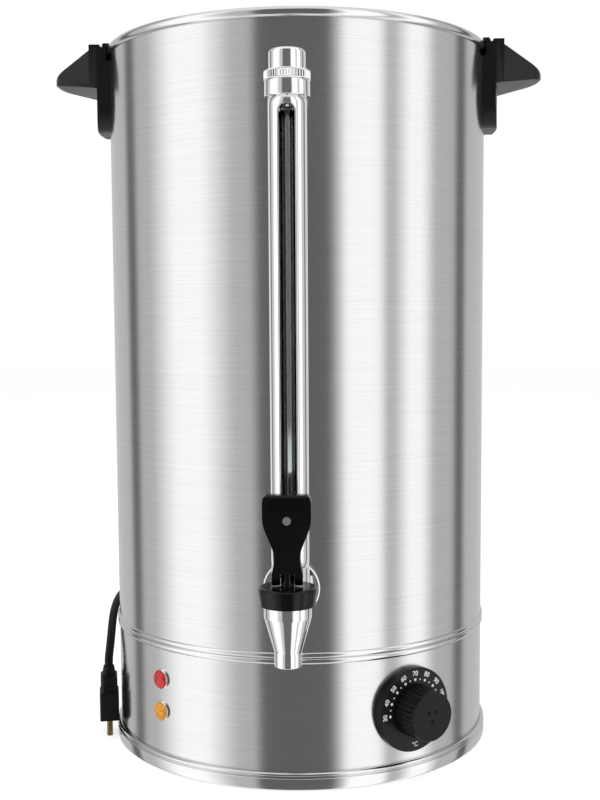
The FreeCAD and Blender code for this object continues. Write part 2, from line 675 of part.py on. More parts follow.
def handle(name, bearing):
    """One moulded handle: leg against the wall, hood on the rim, wing to lift by with a rib at its root.

    A low band outside the rim runs on from the hood towards the urn's back.
    """
    leg_face = wall_radius + handle_thickness
    leg = post(leg_face, leg_bottom, handle_top)
    leg = leg.common(block(-handle_half_width, handle_half_width, -well_outside, -well_inside,
                           leg_bottom, well_above))
    corner = leg_corner
    straight = handle_half_width - corner
    lower = block(-handle_half_width, handle_half_width, -well_outside, -well_inside,
                  leg_bottom - 1, leg_bottom + corner)
    rounded = fused([
        spigot(corner, well_inside, well_outside, leg_bottom + corner, x) for x in (-straight, straight)]
        + [block(-straight, straight, -well_outside, -well_inside, leg_bottom, leg_bottom + corner)])
    leg = leg.cut(lower.cut(rounded))
    body_low = handle_top - wing_thickness
    tip_radius = wing_tip_half + 3.0
    plan = [Vector(wing_root_half, -leg_face + 4, body_low), Vector(wing_root_half, -leg_face, body_low),
            Vector(tip_radius, -wing_tip + 9, body_low)]
    mirror = [Vector(-p.x, p.y, p.z) for p in reversed(plan)]
    tip = Part.Arc(plan[-1], Vector(0, -wing_tip, body_low), mirror[0]).toShape()
    lines = [Part.LineSegment(a, b).toShape() for a, b in zip(plan, plan[1:])]
    lines += [tip]
    lines += [Part.LineSegment(a, b).toShape() for a, b in zip(mirror, mirror[1:])]
    lines += [Part.LineSegment(mirror[-1], plan[0]).toShape()]
    wing = Part.Face(Part.Wire(lines)).extrude(up * (2 * wing_thickness))
    flank = [(leg_face - 4, handle_top + 0.4), (leg_face, handle_top + 0.4), (wing_tip - 9, handle_top - 14.5),
             (wing_tip - 3, handle_top - 18), (wing_tip + 0.5, handle_top - 22), (wing_tip + 1, body_low + 9),
             (wing_tip - 2, body_low + 7), (wing_tip - 6, body_low + 6), (leg_face - 4, body_low)]
    outline = [Vector(-60, -r, z) for r, z in flank]
    wedge = Part.Face(Part.makePolygon(outline + outline[:1])).extrude(Vector(120, 0, 0))
    wing = wing.common(wedge)
    rim_gap = 0.25
    bead_out = rim_centre_radius + rim_wire + rim_gap
    low = crease_height - 0.6
    inner = rim_centre_radius - 1.5
    hood = turning([(inner, rim_top + rim_gap), (inner, hood_top - 0.8), (inner + 1.2, hood_top),
                    (bead_out + 2.0, hood_top), (bead_out + 3.0, hood_top - 1.0), (bead_out + 3.0, low),
                    (bead_out, low), (bead_out, rim_top + rim_gap)], 0, 0, 2 * hood_front_angle)
    hood.rotate(centre, up, -90 - hood_front_angle)
    band = turning([(bead_out, low), (bead_out, rim_top + 0.6), (bead_out + 1.6, rim_top + 0.6),
                    (bead_out + 2.2, rim_top), (bead_out + 2.2, low)], 0, 0, hood_back_angle)
    band.rotate(centre, up, -90 if bearing > 0 else -90 - hood_back_angle)
    rib = block(-wing_root_half, wing_root_half, -leg_face - rib_thickness, -leg_face + 6.0,
                body_low + 3.0, handle_top + rib_rise)
    pocket = tube(bead_out, inner - 5, crease_height - 3.2, rim_top + rim_gap)
    top_bar = tube(leg_face, bead_out, handle_top - 8, hood_top)
    top_bar = top_bar.common(block(-14, 14, -well_outside, -well_inside, leg_bottom, well_above))
    grip = fused([leg.cut(pocket), wing, rib.cut(pocket), hood, band, top_bar])
    grip = off_wall(grip).cut(pocket)
    screws, nuts = [], []
    for height in handle_screw_heights:
        grip = grip.cut(spigot(2.6, wall_radius - 5, leg_face - 3.0, height))
        shaft = spigot(2.5, inner_radius - 4, leg_face - 3.2, height)
        head = spigot(4.8, inner_radius - 6.0, inner_radius - 3.0, height)
        screws.append(turned(fused([shaft, head]), bearing))
    nodes[name] = turned(grip.removeSplitter(), bearing)
    plate = inside_wall(block(-9, 9, -inner_radius, -inner_radius + 3.0,
                              leg_bottom + 4, handle_screw_heights[-1] + 10))
    for height in handle_screw_heights:
        plate = plate.cut(spigot(2.6, well_inside, well_outside, height))
    return screws, turned(plate, bearing)


def handles():
    """Both handles, with their screws and the plates behind the wall."""
    screws, plates = [], []
    for name, bearing in (("handle_left", -90), ("handle_right", 90)):
        pair, plate = handle(name, bearing)
        screws += pair
        plates.append(plate)
    nodes["handle_screws"] = Part.makeCompound(screws)
    nodes["handle_backing_plates"] = Part.makeCompound(plates)


def lid():
    """Domed lid that drops into the rim, with its knob and screw."""
    seat = rim_centre_height + math.sqrt(rim_wire ** 2 - (rim_centre_radius - lid_radius) ** 2)
    low = seat + body_gap
    high = low + lid_sheet
    apex = high + lid_dome
    steps = 8
    reach = lid_skirt_radius - 8
    crown = [(reach * (1 - i / steps), high - 2.0 + (lid_dome + 2.0) * math.sin(math.pi / 2 * i / steps))
             for i in range(steps + 1)]
    upper = crown[:-1] + [(0.001, apex)]
    lower = [(r, z - lid_sheet) for r, z in reversed(upper)]
    pan = turning([(lid_radius, low), (lid_radius, high), (lid_skirt_radius, high),
                   (lid_skirt_radius, high - 0.001)] + [(lid_skirt_radius - lid_sheet - 3, high - 2.0)]
                  + upper + lower
                  + [(lid_skirt_radius - lid_sheet - 2, high - 2.0 - lid_sheet),
                     (lid_skirt_radius - lid_sheet, high - 2.0 - lid_sheet),
                     (lid_skirt_radius - lid_sheet, low - lid_skirt_depth),
                     (lid_skirt_radius, low - lid_skirt_depth), (lid_skirt_radius, low)])
    pan = pan.cut(post(2.6, low - 30, apex + 5)).cut(post(2.0, low - 30, apex + 5, 0, 60))
    nodes["lid_pan"] = pan
    knob = turning([(0.001, apex + 0.1), (lid_knob_radius - 6, apex + 0.1),
                    (lid_knob_radius - 7, apex + 6), (lid_knob_radius - 1, apex + 10),
                    (lid_knob_radius, apex + 13), (lid_knob_radius - 1.6, apex + lid_knob_height - 1.6),
                    (lid_knob_radius - 5, apex + lid_knob_height), (0.001, apex + lid_knob_height)])
    nodes["lid_knob"] = knob.cut(post(2.5, apex - 5, apex + 12))
    nodes["lid_screw"] = fused([post(2.5, apex - lid_sheet - 3, apex + 11.8),
                                post(4.6, apex - lid_sheet - 3.2, apex - lid_sheet - 0.4)])


def lead():
    """Mains lead: gland in the skirt, a run to the coil, the coil, the run over its hook, the plug."""
    r = lead_diameter / 2
    relief = 20.0
    exit_out = wall_radius + 3.9 + relief
    gland = fused([off_wall(spigot(9.0, wall_radius - 3, wall_radius + 4, gland_height)),
                   Part.makeCone(6.6, 4.6, relief, Vector(0, -exit_out + relief, gland_height), out),
                   spigot(6.0, inner_radius - 8, wall_radius + 4, gland_height)])
    nodes["cord_gland"] = turned(gland, gland_bearing)
    nodes["gland_nut"] = turned(inside_wall(collar(10, 6.1, inner_radius - 5, wall_radius, gland_height)),
                                gland_bearing)
    pitch = lead_diameter + turn_gap
    inner = coil_outer - coil_layer_turns * pitch
    low = r + 0.1
    high = low + pitch
    middle = coil_half_turns / 2

    def fold(a):
        """0 at both ends of the coil and 1 in its middle, at a steady rate that turns back softly."""
        soft = 0.12
        x = math.sqrt(((a - middle) / middle) ** 2 + soft ** 2) - soft
        return 1 - x / (math.sqrt(1 + soft ** 2) - soft)

    def place(s):
        """Spirals in on the floor, climbs a layer in the middle half turn and spirals out on top."""
        a = coil_half_turns * s
        angle = math.radians(coil_start) + math.pi * a
        reach = coil_outer - (coil_outer - inner) * fold(a)
        climb = max(0.0, min(1.0, a - middle + 0.5))
        climb = climb * climb * (3 - 2 * climb)
        return Vector(coil_x + reach * math.cos(angle), coil_y + reach * math.sin(angle),
                      low + (high - low) * climb)

    def heading(s):
        d = 1e-4
        return place(min(1.0, s + d)) - place(max(0.0, s - d))

    coil, coil_length = wound(place, heading, round(coil_half_turns * 2), r)
    count = 700
    samples = [place(i / count) for i in range(count + 1)]
    near = int(math.pi * inner * 0.5 / (coil_length / count))
    least = min((a - b).Length for i, a in enumerate(samples) for b in samples[i + near:])
    print("coil length", round(coil_length, 1), "least gap to itself", round(least - lead_diameter, 2))
    nodes["lead_coil"] = coil
    start = on_wall(gland_bearing, exit_out, gland_height)
    gland_route = [start] + [Vector(*p) for p in gland_path] + [place(0)]
    nodes["lead_gland_run"], gland_length = routed(gland_route, lead_diameter, "gland run")
    plug_route = [place(1)] + [Vector(*p) for p in floor_path] + [on_wall(*p) for p in wall_path]
    nodes["lead_plug_run"], plug_length = routed(plug_route, lead_diameter, "plug run")
    print("lead length", round(gland_length + coil_length + plug_length, 1))
    px, py, plug_exit = plug_route[-1]
    body = block(-plug_depth / 2, plug_depth / 2, -plug_width / 2, plug_width / 2, plug_bottom, plug_top - 14)
    shoulder = block(-plug_depth / 2 + 1, plug_depth / 2 - 1, -plug_width / 2 + 1, plug_width / 2 - 1,
                     plug_top - 15, plug_top)
    body = body.makeFillet(2.0, [e for e in body.Edges if e.BoundBox.ZLength > 5])
    shoulder = shoulder.makeFillet(4.0, [e for e in shoulder.Edges if e.BoundBox.ZLength > 5])
    sleeve = Part.makeCone(6.0, 4.4, plug_exit - plug_top + 4, Vector(0, 0, plug_top - 1), up)
    plug = fused([body, shoulder, sleeve]).cut(post(r, plug_exit, plug_exit + 10))
    plug = plug.cut(Part.makeCylinder(4.2, 6, Vector(plug_depth / 2 - 2, 0, plug_top - 9), side))
    plug.rotate(centre, up, plug_bearing)
    plug.translate(Vector(px, py, 0))
    nodes["plug_body"] = plug
    pins = [block(-8.5, -2.2, -0.75, 0.75, 0.15, plug_bottom), post(2.4, 0.15, plug_bottom, 6.0)]
    pins = Part.makeCompound(pins)
    pins.rotate(centre, up, plug_bearing)
    pins.translate(Vector(px, py, 0))
    nodes["plug_pins"] = pins
    hook_end = wall_radius + 13.0
    web = wall_radius + seam_bulge + 0.4
    hook = fused([block(-4, 4, -hook_end, -web, hook_saddle - 4, hook_saddle),
                  block(-4, 4, -hook_end - 2, -hook_end, hook_saddle - 4, hook_saddle + 7),
                  block(-6, 6, -web - 1.0, -web, hook_saddle - 4, seam_top + 18),
                  block(-6, 6, -web, -wall_radius + 3, seam_top + 0.2, seam_top + 18)])
    hook = off_wall(hook)
    nodes["cord_hook"] = turned(hook, hook_bearing)


tank()
base()
heater()
thermostat()
lamps()
gauge()
tap()
handles()
lid()
lead()

os.makedirs("parts", exist_ok=True)
for name, shape in nodes.items():
    if not shape.isValid() or not shape.Solids:
        print("check", name, shape.isValid(), len(shape.Solids))
    shape.exportStep("parts/" + name + ".step")
print(len(nodes), "nodes")
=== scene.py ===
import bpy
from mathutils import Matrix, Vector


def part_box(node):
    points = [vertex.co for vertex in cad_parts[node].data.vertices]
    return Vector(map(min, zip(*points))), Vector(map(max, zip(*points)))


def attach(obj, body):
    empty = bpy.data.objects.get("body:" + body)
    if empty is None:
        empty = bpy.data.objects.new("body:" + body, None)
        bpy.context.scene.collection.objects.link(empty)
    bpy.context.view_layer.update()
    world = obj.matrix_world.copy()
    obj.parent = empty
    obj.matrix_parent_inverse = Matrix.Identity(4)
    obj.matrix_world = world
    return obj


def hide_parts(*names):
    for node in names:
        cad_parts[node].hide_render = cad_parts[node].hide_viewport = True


bl_info = {
    "name": "Hot Water Urn",
    "version": (1, 0, 0),
    "blender": (4, 5, 0),
    "location": "View3D > Sidebar > Urn",
    "description": "Brushed steel hot water urn with gauge, tap, thermostat, lamps, handles and lead",
    "category": "Add Mesh",
}

import math

import bmesh
import bpy
import numpy as np
from bpy.props import FloatProperty, FloatVectorProperty, IntProperty, PointerProperty
from mathutils import Euler, Matrix, Vector

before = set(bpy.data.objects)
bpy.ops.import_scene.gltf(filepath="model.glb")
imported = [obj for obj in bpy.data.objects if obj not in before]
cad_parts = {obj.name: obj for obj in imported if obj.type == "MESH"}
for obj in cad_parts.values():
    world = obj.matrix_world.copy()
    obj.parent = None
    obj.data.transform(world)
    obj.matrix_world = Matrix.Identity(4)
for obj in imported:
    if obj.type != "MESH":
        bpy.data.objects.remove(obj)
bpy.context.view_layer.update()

# Sizes in the shape functions are millimetres, and a mesh gets them times this.
MM = 0.001

# Distance from the axis at which a fitting's back meets the outside of the wall
WALL_FACE = 155.05


# Shapes

def rounded(points, radius, steps=5, closed=False):
    """Each corner becomes the parabola (1-t)^2 a + 2t(1-t) corner + t^2 b, t from 0 to 1.

    The points a and b lie on the corner's two sides, a radius from it or 0.45 of the side.
    """
    p = np.asarray(points, float)
    r = np.array(np.broadcast_to(radius, len(p)), float)
    if not closed:
        r[0] = r[-1] = 0.0
    ends = []
    for other in (np.roll(p, 1, 0), np.roll(p, -1, 0)):
        way = other - p
        length = np.maximum(np.linalg.norm(way, axis=1), 1e-9)
        ends.append(p + way / length[:, None] * np.minimum(r, 0.45 * length)[:, None])
    t = np.linspace(0, 1, steps)[None, :, None]
    corner = (1 - t) ** 2 * ends[0][:, None] + 2 * t * (1 - t) * p[:, None] + t ** 2 * ends[1][:, None]
    line = corner.reshape(-1, p.shape[1])
    apart = np.linalg.norm(np.diff(line, axis=0), axis=1) > 1e-6
    return line[np.concatenate([[True], apart])]


def upright(r, low, high, count):
    """Points (r, h) of a straight line, with h from low to high."""
    return np.stack([np.full(count, r), np.linspace(low, high, count)], -1)


def turned(profile, steps, ripple=None):
    """Profile (r, h) carried round an axis: (r cos a, r sin a, h), a from 0 to a full turn.

    A ripple takes (r, h, a) and gives the r to use there.
    """
    r, h = np.asarray(profile, float).T[:, :, None]
    a = np.linspace(0, 2 * math.pi, steps, endpoint=False)[None, :]
    if ripple is not None:
        r = ripple(r, h, a)
    return np.stack([r * np.cos(a), r * np.sin(a), h + 0 * a], -1)


def out_of_wall(grid, bearing, height, trim=None):
    """Turns a grid's own axis to point out of the urn at a bearing and height.

    Point = side * x + up * (height + y) + outward * z. With trim, z is at least
    sqrt(trim^2 - x^2), so the grid's back follows a wall of that radius.
    """
    b = math.radians(bearing)
    side = np.array([math.cos(b), math.sin(b), 0.0])
    outward = np.array([math.sin(b), -math.cos(b), 0.0])
    x, y, z = np.moveaxis(grid, -1, 0)
    if trim is not None:
        z = np.maximum(z, np.sqrt(np.maximum(trim ** 2 - x ** 2, 0.0)))
    up = np.array([0.0, 0.0, 1.0])
    return x[..., None] * side + (height + y)[..., None] * up + z[..., None] * outward


def mesh_of(name, grid, close_rows=False, close_columns=True):
    """A mesh on a grid of points: each four neighbours make a face, and points that meet merge."""
    rows, columns = grid.shape[:2]
    index = np.arange(rows * columns).reshape(rows, columns)
    if close_columns:
        index = np.hstack([index, index[:, :1]])
    if close_rows:
        index = np.vstack([index, index[:1]])
    quads = np.stack([index[:-1, :-1], index[:-1, 1:], index[1:, 1:], index[1:, :-1]], -1)
    mesh = bpy.data.meshes.new(name)
    mesh.from_pydata((grid.reshape(-1, 3) * MM).tolist(), [], quads.reshape(-1, 4).tolist())
    return cleaned(mesh)


def shaded(mesh):
    """Shades a mesh smooth, but for edges that turn by more than 38 degrees."""
    mesh.shade_smooth()
    mesh.set_sharp_from_angle(angle=math.radians(38))
    return mesh


def cleaned(mesh):
    """Merges doubled points, points the faces outwards and shades all but sharp edges smooth."""
    work = bmesh.new()
    work.from_mesh(mesh)
    bmesh.ops.remove_doubles(work, verts=work.verts, dist=1e-6)
    bmesh.ops.recalc_face_normals(work, faces=work.faces)
    work.to_mesh(mesh)
    work.free()
    return shaded(mesh)


def joined(name, meshes):
    """One mesh from several."""
    work = bmesh.new()
    for mesh in meshes:
        work.from_mesh(mesh)
        bpy.data.meshes.remove(mesh)
    whole = bpy.data.meshes.new(name)
    work.to_mesh(whole)
    work.free()
    return shaded(whole)


def softened(node):
    """A merged copy of a node's mesh, with the triangles of each flat face joined."""
    mesh = bpy.data.meshes.new(node + "_soft")
    work = bmesh.new()
    work.from_mesh(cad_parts[node].data)
    bmesh.ops.remove_doubles(work, verts=work.verts, dist=2e-6)
    bmesh.ops.dissolve_limit(work, angle_limit=math.radians(0.6), verts=work.verts, edges=work.edges)
    bmesh.ops.recalc_face_normals(work, faces=work.faces)
    work.to_mesh(mesh)
    work.free()
    return shaded(mesh)


def piece(mesh, finish, body, nodes=()):
    """Adds a mesh as a piece that rides on a body and stands for the given nodes."""
    thing = bpy.data.objects.new(mesh.name, mesh)
    bpy.context.scene.collection.objects.link(thing)
    mesh.materials.clear()
    mesh.materials.append(finish)
    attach(thing, body)
    if nodes:
        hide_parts(*nodes)
    return thing


def bevelled(thing, width):
    """Rounds a piece's edges that turn by more than 40 degrees."""
    bevel = thing.modifiers.new("Bevel", "BEVEL")
    bevel.width = width * MM
    bevel.segments = 3
    bevel.limit_method = "ANGLE"
    bevel.angle_limit = math.radians(40)
    bevel.miter_outer = "MITER_ARC"
    bevel.harden_normals = False


# Materials

class Level:
    """A number socket. Arithmetic on it adds Math nodes to its material."""

    def __init__(self, finish, socket):
        self.finish = finish
        self.socket = socket

    def _math(self, operation, *values):
        return self.finish.node("ShaderNodeMath", {"operation": operation}, dict(enumerate(values)))

    def __add__(self, other):
        return self._math("ADD", self, other)

    def __sub__(self, other):
        return self._math("SUBTRACT", self, other)

    def __rsub__(self, other):
        return self._math("SUBTRACT", other, self)

    def __mul__(self, other):
        return self._math("MULTIPLY", self, other)

    def above(self, edge, width):
        """0 under the edge and 1 over it, across the width."""
        return self.finish.node("ShaderNodeMapRange", {"clamp": True}, {
            "Value": self, "From Min": edge - width / 2, "From Max": edge + width / 2})


class Finish:
    """A material. Its constants sit on the shader's own sockets, and patterns are added as nodes."""

    def __init__(self, name, constants):
        self.material = bpy.data.materials.new(name)
        self.material.use_nodes = True
        self.tree = self.material.node_tree
        self.shader = self.tree.nodes["Principled BSDF"]
        for socket, value in constants.items():
            self.shader.inputs[socket].default_value = value

    def node(self, kind, settings=None, sockets=None, output=0):
        """Adds a node: its settings first, then the values or links of its sockets."""
        added = self.tree.nodes.new(kind)
        for setting, value in (settings or {}).items():
            if setting == "stops":
                self._stops(added.color_ramp, value)
            else:
                setattr(added, setting, value)
        for socket, value in (sockets or {}).items():
            if isinstance(value, Level):
                self.tree.links.new(value.socket, added.inputs[socket])
            else:
                added.inputs[socket].default_value = value
        return Level(self, added.outputs[output])

    def _stops(self, ramp, stops):
        while len(ramp.elements) < len(stops):
            ramp.elements.new(1.0)
        for element, (place, grey) in zip(ramp.elements, stops):
            element.position = place
            element.color = (grey, grey, grey, 1.0)

    def place(self, scale=(1.0, 1.0, 1.0)):
        """Object coordinates in metres, times a scale."""
        where = self.node("ShaderNodeTexCoord", output=3)
        return self.node("ShaderNodeMapping", None, {"Vector": where, "Scale": scale})

    def noise(self, scale, detail=2.0, roughness=0.5, stretch=(1.0, 1.0, 1.0)):
        """Noise around 0.5, with that many blobs a metre before it is stretched."""
        return self.node("ShaderNodeTexNoise", None, {
            "Vector": self.place(stretch), "Scale": scale, "Detail": detail, "Roughness": roughness})

    def colour(self, factor, low, high):
        """A mix of two colours."""
        return self.node("ShaderNodeMix", {"data_type": "RGBA"}, {
            0: factor, 6: (*low, 1.0), 7: (*high, 1.0)}, output=2)

    def bump(self, height, strength, distance):
        """A bump that feeds the shader's Normal."""
        self.set("Normal", self.node("ShaderNodeBump", None, {
            "Height": height, "Strength": strength, "Distance": distance}))

    def set(self, socket, level):
        """Links a level to one of the shader's sockets."""
        self.tree.links.new(level.socket, self.shader.inputs[socket])


def steel_finish(name, grey, rough, grain, along=(6.0, 6.0, 900.0), spread=0.7):
    """Brushed steel: coarser and finer lines round the tank, and a slower cloud of wear."""
    steel = Finish(name, {"Metallic": 1.0, "Anisotropic": spread, "Anisotropic Rotation": 0.25})
    lines = steel.noise(1.0, 3.0, 0.6, along)
    fine = steel.noise(1.0, 1.0, 0.5, (along[0] * 5, along[1] * 5, along[2] * 2.4))
    wear = steel.noise(7.0, 3.0, 0.6)
    mix = lines * 0.6 + fine * 0.4
    low = [grey * 0.92] * 3
    high = [grey * 1.05, grey * 1.05, grey * 1.045]
    steel.set("Base Color", steel.colour(mix.above(0.5, 0.5), low, high))
    steel.set("Roughness", mix * 0.08 + wear * 0.04 + (rough - 0.06))
    steel.bump(mix, grain, 0.0004)
    return steel.material


def chrome_finish(name, grey, rough):
    """Polished plating: a mirror with faint handling marks."""
    chrome = Finish(name, {"Metallic": 1.0})
    marks = chrome.noise(60.0, 4.0, 0.65)
    chrome.set("Base Color", chrome.colour(marks, [grey * 0.97] * 3, [grey] * 3))
    chrome.set("Roughness", marks.above(0.5, 0.6) * 0.05 + rough)
    chrome.bump(chrome.noise(220.0, 2.0), 0.02, 0.0002)
    return chrome.material


def moulding_finish(name, grey, rough, texture, coat=0.0, size=1400.0):
    """Moulded plastic or rubber: a fine spark texture, with patches that are paler and duller."""
    moulding = Finish(name, {"Specular IOR Level": 0.2, "Coat Roughness": 0.1})
    moulding.shader.inputs["Coat Weight"].default_value = coat
    speckle = moulding.noise(size, 2.0, 0.6)
    patches = moulding.noise(25.0, 3.0, 0.6)
    moulding.set("Base Color", moulding.colour(patches.above(0.55, 0.4), [grey * 0.8] * 3, [grey * 1.25] * 3))
    moulding.set("Roughness", patches * 0.1 + speckle * 0.08 + (rough - 0.09))
    moulding.bump(speckle, texture, 0.0003)
    return moulding.material


def lens_finish(name, deep, bright):
    """A glossy tinted lens, with painted shade and painted highlight on its moulded facets: each facet is
    coloured darker or lighter.
    """
    lens = Finish(name, {"Specular IOR Level": 0.4, "Coat Weight": 0.15, "Coat Roughness": 0.06})
    facets = lens.node("ShaderNodeTexVoronoi", {"feature": "F1"}, {
        "Vector": lens.place(), "Scale": 620.0})
    # Painted shade and highlight: each facet cell gets the darker or the lighter lens colour
    lens.set("Base Color", lens.colour(facets.above(0.45, 0.5), deep, bright))
    lens.set("Roughness", facets * 0.12 + 0.14)
    lens.bump(facets, 0.35, 0.0006)
    return lens.material


def print_finish(name, grey):
    """Printed white marks, a little uneven."""
    ink = Finish(name, {"Specular IOR Level": 0.3})
    cover = ink.noise(900.0, 2.0)
    ink.set("Base Color", ink.colour(cover, [grey * 0.86] * 3, [grey] * 3))
    ink.set("Roughness", cover * 0.2 + 0.4)
    return ink.material


def glass_finish(name):
    """Clear glass tube with a faint film inside."""
    glass = Finish(name, {"Transmission Weight": 1.0, "IOR": 1.47, "Specular IOR Level": 0.5})
    film = glass.noise(40.0, 3.0, 0.6, (1.0, 1.0, 0.2))
    glass.set("Base Color", glass.colour(film, (0.93, 0.96, 0.96), (0.98, 0.99, 0.99)))
    glass.set("Roughness", film.above(0.5, 0.5) * 0.03 + 0.01)
    return glass.material


def brass_finish(name):
    """Dark, tarnished brass with rubbed streaks."""
    brass = Finish(name, {"Metallic": 1.0})
    rub = brass.noise(180.0, 3.0, 0.6, (1.0, 1.0, 0.15))
    brass.set("Base Color", brass.colour(rub, (0.12, 0.085, 0.04), (0.3, 0.22, 0.1)))
    brass.set("Roughness", rub * 0.2 + 0.35)
    brass.bump(rub, 0.1, 0.0002)
    return brass.material


finishes = {}


def make_finishes(colours):
    """Every material, by name, and the CAD nodes that wear it as they are."""
    steel, plastic = colours.steel_grey, colours.plastic_grey
    finishes.update(
        brushed=steel_finish("brushed_steel", steel, 0.2, 0.03, spread=0.8),
        satin=steel_finish("satin_steel", steel * 0.95, 0.34, 0.08, (40.0, 40.0, 400.0), 0.4),
        rim=steel_finish("rolled_rim_steel", steel * 1.05, 0.12, 0.01, (10.0, 10.0, 300.0), 0.2),
        plain=steel_finish("plain_steel", steel * 0.85, 0.4, 0.1, (60.0, 60.0, 60.0), 0.0),
        chrome=chrome_finish("bright_chrome", 0.86, 0.045),
        plastic=moulding_finish("black_moulding", plastic, 0.34, 0.1, 0.04),
        gloss=moulding_finish("gloss_black", plastic * 0.5, 0.2, 0.03, 0.08),
        matt=moulding_finish("matt_black", plastic * 0.8, 0.4, 0.12),
        rubber=moulding_finish("lead_rubber", plastic, 0.45, 0.1, 0.0, 900.0),
        silicone=moulding_finish("silicone", 0.62, 0.55, 0.05),
        # Each lens gets a darker copy of its colour for facets painted in shade, and its full colour for
        # facets painted as highlight
        red=lens_finish("red_lens", tuple(c * 0.35 for c in colours.red_lamp), tuple(colours.red_lamp)),
        amber=lens_finish("amber_lens", tuple(c * 0.5 for c in colours.amber_lamp),
                          tuple(colours.amber_lamp)),
        ink=print_finish("white_print", 0.86),
        glass=glass_finish("clear_glass"),
        brass=brass_finish("brass_pins"))
    worn = {
        "plain": ("bottom_plate", "pressure_plate", "floor_stud", "stud_nut", "foot_screws", "foot_nuts",
                  "heating_ring", "handle_screws", "handle_backing_plates", "capillary", "sensor_bulb",
                  "thermostat_screws", "tap_stem", "tap_spring", "lid_screw", "lever_screw", "gauge_head_nut",
                  "gauge_head_washer", "tap_shank_nut", "lamp_nuts", "dry_boil_cutout", "cord_hook"),
        "satin": ("tank_floor",),
        "chrome": ("lever_pin", "thermostat_spindle"),
        "matt": ("thermostat_body", "lamp_holders", "gland_nut"),
        "rubber": ("rubber_feet", "plug_body"),
        "silicone": ("tap_wall_seal", "tap_inner_seal", "tap_seat_cup", "gauge_seals", "gauge_head_seal"),
        "brass": ("plug_pins",)}
    for finish, nodes in worn.items():
        for node in nodes:
            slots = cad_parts[node].data.materials
            slots.clear()
            slots.append(finishes[finish])


# Sizes and colours

class UrnTankSizes(bpy.types.PropertyGroup):
    """The steel shell."""
    radius: FloatProperty(name="Tank radius", description="Outside of the wall", default=155.0)
    sheet: FloatProperty(name="Sheet", description="Thickness of the steel", default=0.8)
    seam_low: FloatProperty(name="Seam low edge", description="Height of the seam's lower edge", default=96.0)
    seam_high: FloatProperty(name="Seam high edge", description="Height of the seam's upper edge",
                             default=104.9)
    crease: FloatProperty(name="Rim crease", description="Height where the rolled rim begins", default=563.5)
    rim_wire: FloatProperty(name="Rim roll", description="Radius of the rolled rim", default=3.75)
    rim_overhang: FloatProperty(name="Rim overhang", description="Rim beyond the wall", default=2.5)
    ring_height: FloatProperty(name="Foot ring", description="Height of the ring at the foot", default=14.0)


class UrnFittingSizes(bpy.types.PropertyGroup):
    """The fittings on the wall."""
    gauge_out: FloatProperty(name="Gauge distance", description="Gauge from the urn's axis", default=174.0)
    tap_out: FloatProperty(name="Tap distance", description="Spout from the urn's axis", default=215.0)
    guard_radius: FloatProperty(name="Guard radius", description="Outside of the gauge guard", default=13.75)
    slot_width: FloatProperty(name="Slot width", description="Slot in the gauge guard", default=12.0)
    slot_low: FloatProperty(name="Slot foot", description="Height of the slot's lower end", default=180.0)
    slot_high: FloatProperty(name="Slot head", description="Height of the slot's upper end", default=498.5)
    arm_height: FloatProperty(name="Tap height", description="Height of the tap's arm", default=154.0)
    knurls: IntProperty(name="Knurls", description="Ribs round the gauge ring", default=48)
    dial_bearing: FloatProperty(name="Dial bearing", description="Degrees from the front", default=35.0)
    dial_height: FloatProperty(name="Dial height", description="Centre of the dial", default=54.5)
    dial_radius: FloatProperty(name="Dial radius", description="Scale plate", default=32.5)
    dial_front: FloatProperty(name="Dial front", description="Plate's face from the axis", default=160.5)
    knob_length: FloatProperty(name="Knob length", description="From its foot to its face", default=20.0)
    knob_radius: FloatProperty(name="Knob radius", description="At its foot", default=20.0)
    knob_flutes: IntProperty(name="Knob flutes", description="Grooves round the knob", default=30)
    lamp_bearing: FloatProperty(name="Lamp bearing", description="Degrees from the front", default=-42.0)


class UrnLeadSizes(bpy.types.PropertyGroup):
    """The mains lead."""
    diameter: FloatProperty(name="Lead diameter", description="Outside of the sheath", default=7.0)
    length: FloatProperty(name="Lead length", description="Gland to plug", default=1511.0)
    turn_gap: FloatProperty(name="Turn gap", description="Between the coil's turns", default=1.0)


class UrnColours(bpy.types.PropertyGroup):
    """Colours of the finishes."""
    steel_grey: FloatProperty(name="Steel", description="Brushed steel's reflectance",
                              default=0.66, min=0, max=1)
    plastic_grey: FloatProperty(name="Plastic", description="Black plastic's grey",
                                default=0.006, min=0, max=1)
    red_lamp: FloatVectorProperty(name="Heating lamp", description="Bright part of the lens",
                                  subtype="COLOR", default=(0.7, 0.02, 0.02))
    amber_lamp: FloatVectorProperty(name="Warm lamp", description="Bright part of the lens",
                                    subtype="COLOR", default=(0.9, 0.36, 0.02))


# Pieces

